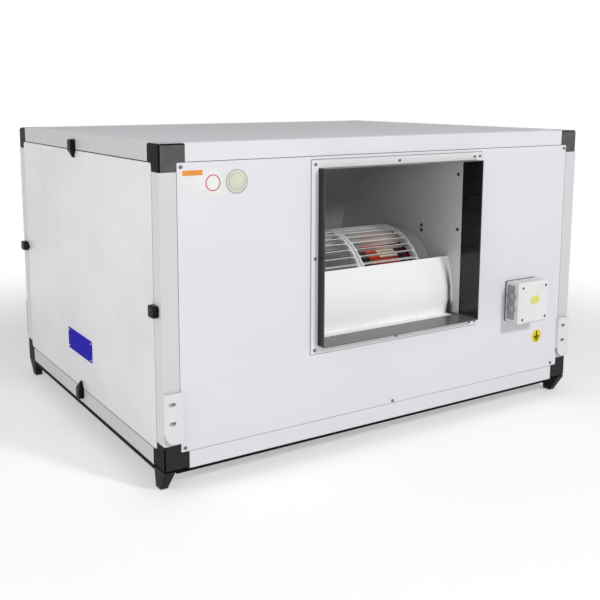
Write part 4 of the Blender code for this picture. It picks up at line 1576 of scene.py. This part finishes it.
@dataclass
class Blower:
    """The scroll, its side plates, and the motor under its cowl."""

    plate_screws: tuple[Point, ...] = (
        (0.052, 0.507), (0.050, 0.383), (0.171, 0.378), (0.171, 0.366), (0.092, 0.261),
    )
    plate_screw_sink: float = 0.0003
    barrel_radius: float = 0.1035
    barrel_start: float = 0.030
    nose_end: float = 0.066
    cowl_turns: Point = (math.radians(13), math.radians(66))
    cowl_edge: float = 0.0015
    cowl_gap: float = 0.0006
    cowl_seat: float = 0.0002
    fin_count: int = 40
    fin_height: float = 0.0025
    fin_width: float = 0.0022
    fin_inset: float = 0.002
    label_start: float = 0.098
    label_end: float = 0.150
    label_turn: float = math.radians(31)
    label_half: float = math.radians(8.5)
    label_clear: float = 0.04
    label_layer: Point = (0.0001, 0.0006)
    cover_start: float = 0.151
    collar_start: float = 0.164
    collar_end: float = 0.190
    bolt_reach: float = 0.150
    bolt_radius: float = 0.0065
    bolt_height: float = 0.0042
    washer_radius: float = 0.0085
    washer_height: float = 0.0010

    def build(self) -> list[bpy.types.Object]:
        """Dresses the blower's nodes and adds the fittings."""
        low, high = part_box("fan_wheel")
        self.axis = (low + high) / 2
        dress(["blower_wrapper"], PALETTE.wrapper)
        dress(["blower_side_left", "blower_side_right"], PALETTE.side_plate)
        for name in ("blower_wrapper", "blower_side_left", "blower_side_right", "motor", "motor_shaft"):
            soften(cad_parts[name])
        dress(["motor"], PALETTE.enamel)
        dress(["motor_shaft"], PALETTE.shaft)
        dress(["motor_spider"], PALETTE.spider, 0.0005)
        return [self._plate_screws(), *self._motor_fittings(), self._spider_bolts()]

    def _plate_screws(self) -> bpy.types.Object:
        """The dark screw ends on the inner faces of both side plates."""
        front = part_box("post_front_left")[0].y
        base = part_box("bottom_rail_front")[0].z
        low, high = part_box("blower_wrapper")
        seats = []
        for y, z in self.plate_screws:
            seats.append(Facing.LEFT.at((high.x + self.plate_screw_sink, front + y, base + z)))
            seats.append(Facing.RIGHT.at((low.x - self.plate_screw_sink, front + y, base + z)))
        screws = Screw(0.0040, 0.0022).set(seats, 31)
        return piece("side_plate_screws", screws, PALETTE.dark_screw)

    def _motor_fittings(self) -> list[bpy.types.Object]:
        """The arched cowl over the motor's front: nose, ribbed middle with a bare label, cover and collar."""
        low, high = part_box("motor")
        inner = (high.z - low.z) / 2 + self.cowl_seat
        spans = (
            ("motor_nose", PALETTE.motor_cover, self.barrel_start, self.nose_end, 0.0),
            ("motor_barrel", PALETTE.enamel, self.nose_end, self.cover_start, 0.0),
            ("motor_cover", PALETTE.motor_cover, self.cover_start, self.collar_start, self.fin_height),
            ("motor_collar", PALETTE.motor_collar, self.collar_start, self.collar_end, self.fin_height),
        )
        made = []
        for name, finish, near, far, rise in spans:
            section = self._arch((inner, self.barrel_radius + rise), self.cowl_turns, 32)
            arch = Shape.slab(section, far - near - self.cowl_gap, self.cowl_edge)
            made.append(piece(name, arch, finish, matrix=self._along(near)))
        made.append(self._motor_fins())
        radii = tuple(self.barrel_radius + rise for rise in self.label_layer)
        turns = (self.label_turn - self.label_half, self.label_turn + self.label_half)
        label = Shape.slab(self._arch(radii, turns, 24), self.label_end - self.label_start)
        seat = self._along(self.label_start)
        made.append(piece("motor_label", label, PALETTE.motor_label, matrix=seat))
        return made

    def _motor_fins(self) -> bpy.types.Object:
        """The ribs on the cowl's middle, clear of the label."""
        root, tip = self.barrel_radius - self.cowl_gap, self.barrel_radius + self.fin_height
        start = self.axis.x + self.nose_end + self.fin_inset
        stop = self.axis.x + self.cover_start - self.fin_inset
        fin = Shape.box((start, -self.fin_width / 2, root), (stop, self.fin_width / 2, tip), self.cowl_gap)
        first, last = self.cowl_turns
        fins = []
        for i in range(self.fin_count):
            turn = math.tau * (i + 0.5) / self.fin_count
            if first < turn < last and abs(turn - self.label_turn) > self.label_half + self.label_clear:
                matrix = Matrix.Translation((0.0, self.axis.y, self.axis.z)) @ Matrix.Rotation(turn, 4, "X")
                fins.append((fin, matrix))
        made = piece("motor_fins", Shape.joined(fins), PALETTE.enamel)
        fin.free()
        return made

    def _along(self, start: float) -> Matrix:
        """The matrix that stands a section of Y and Z at a place right of the wheel's middle."""
        return Matrix.Translation((self.axis.x + start, self.axis.y, self.axis.z)) @ SECTION_ALONG_X

    @staticmethod
    def _arch(radii: Point, turns: Point, steps: int) -> list[Point]:
        """An arched section in Y and Z about the wheel's axis.

        Args:
            radii: Its inner and outer radius.
            turns: Its ends, as turns forward of the top.
            steps: Facets along each arc.

        Returns:
            The section's points.
        """
        places = [turns[0] + (turns[1] - turns[0]) * i / steps for i in range(steps + 1)]
        near, far = ([(-radius * math.sin(t), radius * math.cos(t)) for t in places] for radius in radii)
        return near + far[::-1]

    def _spider_bolts(self) -> bpy.types.Object:
        """A hexagon bolt near the end of each spider arm."""
        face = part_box("motor_spider")[1].x
        head = Shape.slab(Shape.circle(self.bolt_radius, 6), self.bolt_height, 0.0006)
        washer = Shape.slab(Shape.circle(self.washer_radius, 24), self.washer_height)
        seats = []
        for arm in range(3):
            turn = math.tau * arm / 3
            y = self.axis.y - self.bolt_reach * math.sin(turn)
            z = self.axis.z + self.bolt_reach * math.cos(turn)
            seats.append((washer, Facing.RIGHT.at((face, y, z))))
            seats.append((head, Facing.RIGHT.at((face + self.washer_height, y, z))))
        bolts = Shape.joined(seats)
        head.free()
        washer.free()
        return piece("spider_bolts", bolts, PALETTE.screw)


@dataclass
class FanWheel:
    """The pressed wheel: two rows of curved blades between a grooved centre rim and two end rings."""

    blades: int = 44
    blade_depth: float = 0.026
    blade_thickness: float = 0.0011
    lean: float = math.radians(6.0)
    curl: float = 1.6
    stations: int = 8
    tip_inset: float = 0.0015
    ring_width: float = 0.005
    ring_depth: float = 0.009
    rim_half: float = 0.008
    rim_depth: float = 0.010
    groove_half: float = 0.002
    groove_depth: float = 0.005
    disc_half: float = 0.0015
    hub: Point = (0.0098, 0.024)
    hub_ends: Point = (-0.020, 0.018)
    edge: float = 0.001
    flare: float = 0.006
    steps: int = 120

    def build(self) -> list[bpy.types.Object]:
        """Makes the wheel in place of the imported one, on the fan's body."""
        low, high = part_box("fan_wheel")
        centre = (low + high) / 2
        self.radius, self.half = (high.z - low.z) / 2, (high.x - low.x) / 2
        finish = WheelCoating("wheel_coating", (0.88, 0.90, 0.90), 0.34, centre=(centre.y, centre.z))
        parts = [*self._turned(), *self._rows(), *self._flares()]
        shape = Shape.joined(parts)
        for part in {id(part): part for part, _ in parts}.values():
            part.free()
        wheel = piece("pressed_wheel", shape, finish, Body.FAN, Matrix.Translation(centre))
        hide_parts("fan_wheel")
        return [wheel]

    def _turned(self) -> list[tuple[bmesh.types.BMesh, Matrix]]:
        """The centre disc with its hub and grooved rim, and the two end rings."""
        outer, edge = self.radius, self.edge
        floor, inner = outer - self.groove_depth, outer - self.rim_depth
        bore, hub = self.hub
        left, right = self.hub_ends
        disc, rim, groove = self.disc_half, self.rim_half, self.groove_half
        centre = [
            (bore, left), (hub, left), (hub, -disc), (inner, -disc), (inner, -rim), (outer - edge, -rim),
            (outer, edge - rim), (outer, -groove), (floor, -groove), (floor, groove), (outer, groove),
            (outer, rim - edge), (outer - edge, rim), (inner, rim), (inner, disc), (hub, disc), (hub, right),
            (bore, right), (bore, left),
        ]
        low, high, root = self.half - self.ring_width, self.half, outer - self.ring_depth
        ring = Shape.lathe([
            (root, low), (outer - edge, low), (outer, low + edge), (outer, high - edge), (outer - edge, high),
            (root, high), (root, low),
        ], self.steps)
        right = Matrix.Rotation(math.pi / 2, 4, "Y")
        left = Matrix.Rotation(-math.pi / 2, 4, "Y")
        return [(Shape.lathe(centre, self.steps), right), (ring, right), (ring, left)]

    def _outline(self) -> list[Point]:
        """The section of the topmost blade: Y and Z, its tip leaning towards the outlet."""
        root = self.radius - self.tip_inset - self.blade_depth
        middle = []
        for station in range(self.stations):
            share = station / (self.stations - 1)
            turn = self.lean * share**self.curl
            reach = root + self.blade_depth * share
            middle.append(Vector((-reach * math.sin(turn), reach * math.cos(turn))))
        near, far = [], []
        for i, point in enumerate(middle):
            along = (middle[min(i + 1, self.stations - 1)] - middle[max(i - 1, 0)]).normalized()
            side = Vector((-along.y, along.x)) * self.blade_thickness / 2
            near.append(tuple(point + side))
            far.append(tuple(point - side))
        return near + far[::-1]

    def _rows(self) -> list[tuple[bmesh.types.BMesh, Matrix]]:
        """Every blade of both rows."""
        start, stop = self.rim_half - self.edge, self.half - self.ring_width + self.edge
        blade = Shape.slab(self._outline(), stop - start)
        seats = [Matrix.Translation((x, 0.0, 0.0)) @ SECTION_ALONG_X for x in (start, -stop)]
        return [(blade, turn @ seat) for turn in self._turns() for seat in seats]

    def _turns(self) -> list[Matrix]:
        """The turn about the shaft of each blade."""
        return [Matrix.Rotation(math.tau * i / self.blades, 4, "X") for i in range(self.blades)]

    def _flares(self) -> list[tuple[bmesh.types.BMesh, Matrix]]:
        """The rounded corners where each blade's tip runs into the rim and the rings."""
        width, half, steps = self.flare, self.blade_thickness / 2, 6
        arc = [i / steps * math.pi / 2 for i in range(steps + 1)]
        side = [(width * (1 - math.sin(turn)), half + width * (1 - math.cos(turn))) for turn in arc]
        mirrored = [(x, -y) for x, y in side[::-1]]
        outline = [(0.0, -half - width), *mirrored[1:], *side[:-1], (0.0, half + width)]
        plate = Shape.slab(outline, self.blade_thickness)
        reach = self.radius - self.tip_inset - self.blade_thickness
        out = Vector((0.0, -math.sin(self.lean), math.cos(self.lean)))
        ends = ((self.rim_half, 1), (self.half - self.ring_width, -1))
        seats = []
        for sign in (1, -1):
            for place, inward in ends:
                along = Vector((sign * inward, 0.0, 0.0))
                across = out.cross(along)
                seat = Matrix([[column[row] for column in (along, across, out)] for row in range(3)]).to_4x4()
                seat.translation = out * reach + Vector((sign * place, 0.0, 0.0))
                seats.append(seat)
        return [(plate, turn @ seat) for seat in seats for turn in self._turns()]


@dataclass
class JunctionBox:
    """The junction box: its cover, four cover screws, the bare yellow mark and a dark strip of painted
    contact shadow round its foot.
    """

    screw_inset: float = 0.0115
    mark_width: float = 0.02852
    mark_height: float = 0.018
    contact_shadow_rise: float = 0.0026
    field_inset: float = 0.006
    knockout_radius: float = 0.0115
    knockout_rise: float = 0.0015
    knockout_pitch: float = 0.029
    ring_width: float = 0.0016
    ring_rise: float = 0.0003
    field_rise: float = 0.0002
    mark_shift: Point = (0.002, 0.006)
    mark_turn: float = math.radians(8)
    mark_corner: float = 0.0085
    mark_rise: float = 0.00025
    contact_shadow_proud: float = 0.0006
    contact_shadow_width: float = 0.004

    def build(self) -> list[bpy.types.Object]:
        """Dresses the box and adds the screws, the painted contact shadow and the mark."""
        low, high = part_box("junction_box")
        # painted shade: the box's knockouts and flank fields are dark grey
        moulding = ShadedKnockoutPlastic(
            "junction_moulding", (0.66, 0.66, 0.665), 0.42, scuff=0.1, flow=0.02, left=low.x, right=high.x,
        )
        dress(["junction_box"], moulding)
        dress(["junction_box_cover"], PALETTE.junction_cover)
        low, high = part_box("junction_box_cover")
        left, right = low.x + self.screw_inset, high.x - self.screw_inset
        bottom, top = low.z + self.screw_inset, high.z - self.screw_inset
        seats = [Facing.FRONT.at((x, low.y, z)) for x in (left, right) for z in (bottom, top)]
        screws = Screw(0.0030, 0.0006, 0.0034, 0.0011, 0.0005).set(seats, 41)
        made = [piece("junction_cover_screws", screws, PALETTE.dark_screw)]
        across, up = self.mark_shift
        centre = ((low.x + high.x) / 2 + across, low.y, (low.z + high.z) / 2 + up)
        outline = Shape.rounded(self.mark_width, self.mark_height, self.mark_corner, 8)
        mark = Shape.slab(outline, self.mark_rise)
        matrix = Facing.FRONT.at(centre, self.mark_turn)
        made.append(piece("junction_mark", mark, PALETTE.film_lemon, matrix=matrix))
        made.append(self._contact_shadow())
        made += self._side_fields()
        return made

    def _side_fields(self) -> list[bpy.types.Object]:
        """The dark grey field on each flank of the box, painted shade on the recessed flank, and the rings of
        its two knockouts in the same grey.
        """
        low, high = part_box("junction_box")
        depth, height = high.y - low.y, high.z - low.z
        middle_y, middle_z = (low.y + high.y) / 2, (low.z + high.z) / 2
        width = depth - 2 * self.field_inset
        field = Shape.slab(Shape.rounded(width, height - 2 * self.field_inset, 0.003), self.field_rise)
        ring = Shape.ring(self.knockout_radius, self.knockout_radius - self.ring_width, self.ring_rise)
        fields, rings = [], []
        for facing, x, inward in ((Facing.LEFT, low.x, 1), (Facing.RIGHT, high.x, -1)):
            fields.append((field, facing.at((x + inward * self.knockout_rise, middle_y, middle_z))))
            for step in (-1, 1):
                place = (x, middle_y, middle_z + step * self.knockout_pitch / 2)
                rings.append((ring, facing.at(place)))
        made = [
            piece("junction_fields", Shape.joined(fields), PALETTE.junction_field_shade),
            piece("junction_knockouts", Shape.joined(rings), PALETTE.junction_field_shade),
        ]
        field.free()
        ring.free()
        return made

    def _contact_shadow(self) -> bpy.types.Object:
        """A dark rubber-finished strip round the box's foot, against the panel: a painted contact shadow
        between box and panel.
        """
        low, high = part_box("junction_box")
        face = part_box("front_panel")[0].y
        proud, inner, rise = self.contact_shadow_proud, -self.contact_shadow_width, self.contact_shadow_rise
        width = high.z - low.z + proud
        path = Shape.rounded(width, width, 0.002, 4)
        section = [(inner, 0.0), (proud, 0.0), (proud, rise - proud), (0.0, rise), (inner, rise)]
        # painted contact shadow between the box and the panel
        contact_shadow_ring = Shape.loop(path, section)
        matrix = Facing.FRONT.at(((low.x + high.x) / 2, face, (low.z + high.z) / 2))
        return piece("junction_contact_shadow", contact_shadow_ring, PALETTE.rubber, matrix=matrix)


@dataclass
class Brackets:
    """The slotted brackets, and the rivet that holds each one's return."""

    rivet_across: float = 0.0287
    rivet_up: float = 0.0084

    def build(self) -> list[bpy.types.Object]:
        """Dresses the brackets and rivets them."""
        dress([f"bracket_{end}_{side}" for end in ENDS for side in SIDES], PALETTE.bracket)
        seats = []
        for side in SIDES:
            low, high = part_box(f"bracket_front_{side}")
            seats.append(Facing.FRONT.at((low.x + self.rivet_across, low.y, low.z + self.rivet_up)))
            low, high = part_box(f"bracket_rear_{side}")
            seats.append(Facing.REAR.at((high.x - self.rivet_across, high.y, low.z + self.rivet_up)))
        rivets = Rivet(0.0022, 0.0007, 0.0007).set(seats)
        return [piece("bracket_rivets", rivets, PALETTE.bracket)]


@dataclass
class RearPad:
    """The cellulose pad as fluted sheets, set in two blocks, and the rivets of its frame."""

    pitch: float = 0.007
    paper: float = 0.0005
    wave: float = 0.018
    slant: float = math.radians(45)
    steps: int = 6
    face_depth: float = 0.006
    rivet_pitch: float = 0.15
    rivet_inset: float = 0.015
    sheet_gap: float = 0.0001

    def build(self) -> list[bpy.types.Object]:
        """Replaces the plain pad and dresses its frame."""
        dress(["pad_frame"], PALETTE.pad_frame, 0.0005)
        low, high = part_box("cellulose_pad")
        middle = (low.x + high.x) / 2
        media = CelluloseSheet("pad_cellulose", (0.40, 0.26, 0.13), 0.85, edge=high.y, top=high.z)
        made = []
        for side, left, right in (("left", low.x, middle), ("right", middle, high.x)):
            block = self._block((left, low.y, low.z), (right, high.y, high.z))
            block.materials.append(media.material())
            obj = add_object(f"pad_sheets_{side}", block)
            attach(obj, Body.CABINET.value)
            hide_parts("cellulose_pad")
            made.append(obj)
        made.append(self._frame_rivets())
        return made

    def _block(self, low: Sequence[float], high: Sequence[float]) -> bpy.types.Mesh:
        """The fluted sheets between two corners, as one mesh.

        Args:
            low: The lowest corner.
            high: The highest corner.

        Returns:
            The mesh.
        """
        sheets = int((high[0] - low[0]) / self.pitch)
        pitch = (high[0] - low[0]) / sheets
        swing = (pitch - self.paper) / 2 - self.sheet_gap
        rise = self.wave / math.cos(self.slant)
        levels = np.linspace(low[2], high[2], int((high[2] - low[2]) / rise * self.steps) + 1)
        depths = np.array([high[1], high[1] - self.face_depth, low[1] + self.face_depth, low[1]])
        down, across = np.meshgrid(levels, depths, indexing="ij")
        run = (across - depths[0]) * math.tan(self.slant)
        rows, columns = down.shape
        per_side = rows * columns
        points, faces = [], []
        strip = self._sheet_faces(rows, columns)
        for sheet in range(sheets):
            lean = 1 if sheet % 2 else -1
            phase = math.tau * (down + lean * run) / rise + (math.pi if sheet % 2 else 0.0)
            middle = low[0] + pitch * (sheet + 0.5) + swing * np.cos(phase)
            for offset in (-self.paper / 2, self.paper / 2):
                points.append(np.stack((middle + offset, across, down), axis=-1).reshape(-1, 3))
            faces.append(strip + sheet * 2 * per_side)
        mesh = bpy.data.meshes.new("pad_sheets")
        mesh.from_pydata(np.concatenate(points).tolist(), [], np.concatenate(faces).tolist())
        mesh.shade_smooth()
        mesh.set_sharp_from_angle(angle=math.radians(60))
        return mesh

    @staticmethod
    def _sheet_faces(rows: int, columns: int) -> np.ndarray:
        """The faces of one closed sheet of two grids of points.

        Args:
            rows: Points down the sheet.
            columns: Points across its depth.

        Returns:
            Quads, as point numbers.
        """
        number = np.arange(rows * columns).reshape(rows, columns)
        far = number + rows * columns
        near_side = np.stack((number[:-1, :-1], number[:-1, 1:], number[1:, 1:], number[1:, :-1]), axis=-1)
        far_side = np.stack((far[:-1, :-1], far[1:, :-1], far[1:, 1:], far[:-1, 1:]), axis=-1)
        quads = [near_side.reshape(-1, 4), far_side.reshape(-1, 4)]
        first = np.stack((number[:-1, 0], number[1:, 0], far[1:, 0], far[:-1, 0]), axis=-1)
        last = np.stack((number[:-1, -1], far[:-1, -1], far[1:, -1], number[1:, -1]), axis=-1)
        bottom = np.stack((number[0, :-1], far[0, :-1], far[0, 1:], number[0, 1:]), axis=-1)
        top = np.stack((number[-1, :-1], number[-1, 1:], far[-1, 1:], far[-1, :-1]), axis=-1)
        return np.concatenate([*quads, first, last, bottom, top])

    def _frame_rivets(self) -> bpy.types.Object:
        """Blind rivets along the middle of the pad frame's four strips."""
        low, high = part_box("pad_frame")
        inset = self.rivet_inset
        left, right, bottom, top = low.x + inset, high.x - inset, low.z + inset, high.z - inset
        columns = round((right - left) / self.rivet_pitch)
        rows = round((top - bottom) / self.rivet_pitch)
        spots = [(left + (right - left) * i / columns, z) for i in range(columns + 1) for z in (bottom, top)]
        spots += [(x, bottom + (top - bottom) * i / rows) for i in range(1, rows) for x in (left, right)]
        seats = [Facing.REAR.at((x, high.y, z)) for x, z in spots]
        return piece("pad_frame_rivets", Rivet().set(seats), PALETTE.rivet)


@dataclass
class Studio:
    """A pale floor, an even white surround, soft lamps and the camera."""

    ambient: float = 0.33
    floor_size: float = 40.0
    floor_white: Point = (0.9, 1.8)
    floor_glow: float = 0.30
    lamps: tuple[tuple[str, Place, float, float], ...] = (
        ("key_lamp", (1.0, -3.5, 2.4), 0.45, 66.0),
        ("side_lamp", (-3.4, -0.6, 1.2), 2.2, 44.0),
        ("front_lamp", (-1.5, -2.9, 1.1), 0.7, 12.0),
    )
    lamp_aim: Place = (0.0, 0.0, 0.30)
    camera_place: Place = (-1.1519, -1.7908, 0.7288)
    camera_yaw: float = math.radians(31.80)
    camera_pitch: float = math.radians(8.83)
    lens: float = 52.3
    shift: Point = (0.0384, -0.1198)

    def build(self) -> None:
        """Sets the colour management and makes the surround, floor, lamps and camera."""
        bpy.context.scene.view_settings.view_transform = "Standard"
        self._surround()
        self._floor()
        for name, place, size, power in self.lamps:
            self._lamp(name, place, size, power)
        self._camera()

    @staticmethod
    def _seen(wiring: Wiring) -> Signal:
        """1 for rays that show the background: camera, mirror and glass rays.

        Args:
            wiring: The wiring of the floor or the world.

        Returns:
            The mask.
        """
        rays = wiring.node("ShaderNodeLightPath")
        camera = Signal(wiring, rays.outputs["Is Camera Ray"])
        glossy = Signal(wiring, rays.outputs["Is Glossy Ray"])
        glass = Signal(wiring, rays.outputs["Is Transmission Ray"])
        return camera.either(glossy).either(glass)

    def _surround(self) -> None:
        """A world that shows white and lights the cooler evenly."""
        world = bpy.data.worlds.new("studio")
        world.use_nodes = True
        bpy.context.scene.world = world
        wiring = Wiring(world.node_tree)
        seen = self._seen(wiring)
        level = self.ambient
        colour = wiring.mix(seen, (level, level, level * 1.01), (1.0, 1.0, 1.0))
        background = wiring.node("ShaderNodeBackground", inputs={"Color": colour, "Strength": 1.0})
        wiring.node("ShaderNodeOutputWorld", inputs={"Surface": background.outputs[0]})

    def _floor(self) -> None:
        """A pale floor that keeps the shadow near the cooler and is white further off."""
        mesh = bpy.data.meshes.new("studio_floor")
        made = bmesh.new()
        bmesh.ops.create_grid(made, x_segments=8, y_segments=8, size=self.floor_size / 2)
        made.to_mesh(mesh)
        made.free()
        floor = add_object("studio_floor", mesh)
        material = bpy.data.materials.new("floor_paper")
        material.use_nodes = True
        wiring = Wiring(material.node_tree)
        seen = self._seen(wiring)
        away = wiring.radius(Axis.X, Axis.Y).ease(*self.floor_white)
        grain = wiring.noise(220.0, 3.0)
        colour = wiring.mix(grain, (0.80, 0.80, 0.80), (0.84, 0.84, 0.84))
        paper = wiring.node("ShaderNodeBsdfDiffuse", inputs={"Color": colour})
        glow, white = (
            wiring.node("ShaderNodeEmission", inputs={"Color": (1.0, 1.0, 1.0, 1.0), "Strength": strength})
            for strength in (self.floor_glow, 1.0)
        )
        lit = wiring.node("ShaderNodeAddShader", inputs={0: paper.outputs[0], 1: glow.outputs[0]})
        near = wiring.node("ShaderNodeMixShader", inputs={0: seen, 1: paper.outputs[0], 2: lit.outputs[0]})
        ends = {0: seen * away, 1: near.outputs[0], 2: white.outputs[0]}
        far = wiring.node("ShaderNodeMixShader", inputs=ends)
        wiring.node("ShaderNodeOutputMaterial", inputs={"Surface": far.outputs[0]})
        mesh.materials.append(material)
        floor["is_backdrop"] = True

    def _lamp(self, name: str, place: Place, size: float, power: float) -> None:
        """A square soft lamp that looks at the cooler's middle.

        Args:
            name: Its name.
            place: Where it stands.
            size: Its side.
            power: Its power in watts.
        """
        data = bpy.data.lights.new(name, "AREA")
        data.size = size
        data.energy = power
        lamp = add_object(name, data)
        lamp.location = place
        aim = Vector(self.lamp_aim) - Vector(place)
        lamp.rotation_euler = aim.to_track_quat("-Z", "Y").to_euler()

    def _camera(self) -> None:
        """The camera, at the photograph's viewing angle."""
        data = bpy.data.cameras.new("camera")
        data.lens = self.lens
        data.sensor_width = 36.0
        data.shift_x, data.shift_y = self.shift
        camera = add_object("camera", data)
        camera.location = self.camera_place
        camera.rotation_euler = (math.pi / 2 - self.camera_pitch, 0.0, -self.camera_yaw)
        bpy.context.scene.camera = camera


def write_size(low_high: Callable[[], tuple[Vector, Vector]]) -> None:
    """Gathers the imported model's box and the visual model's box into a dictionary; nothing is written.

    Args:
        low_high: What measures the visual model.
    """
    boxes = {"cad": [list(v) for v in cad_box], "visual": [list(v) for v in low_high()]}


def main() -> None:
    """Builds the cooler's looks in order, reporting each piece."""
    logging.basicConfig(level=logging.INFO, format="%(name)s: %(message)s")
    Studio().build()
    assemblies = (
        Framework, Panels, LockKnobs, AirOutlet, Blower, FanWheel, JunctionBox, Brackets, RearPad,
    )
    for assembly in assemblies:
        for made in assembly().build():
            LOG.info("%s: %s, %d faces", assembly.__name__, made.name, len(made.data.polygons))
    write_size(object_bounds)


if __name__ == "__main__":
    main()
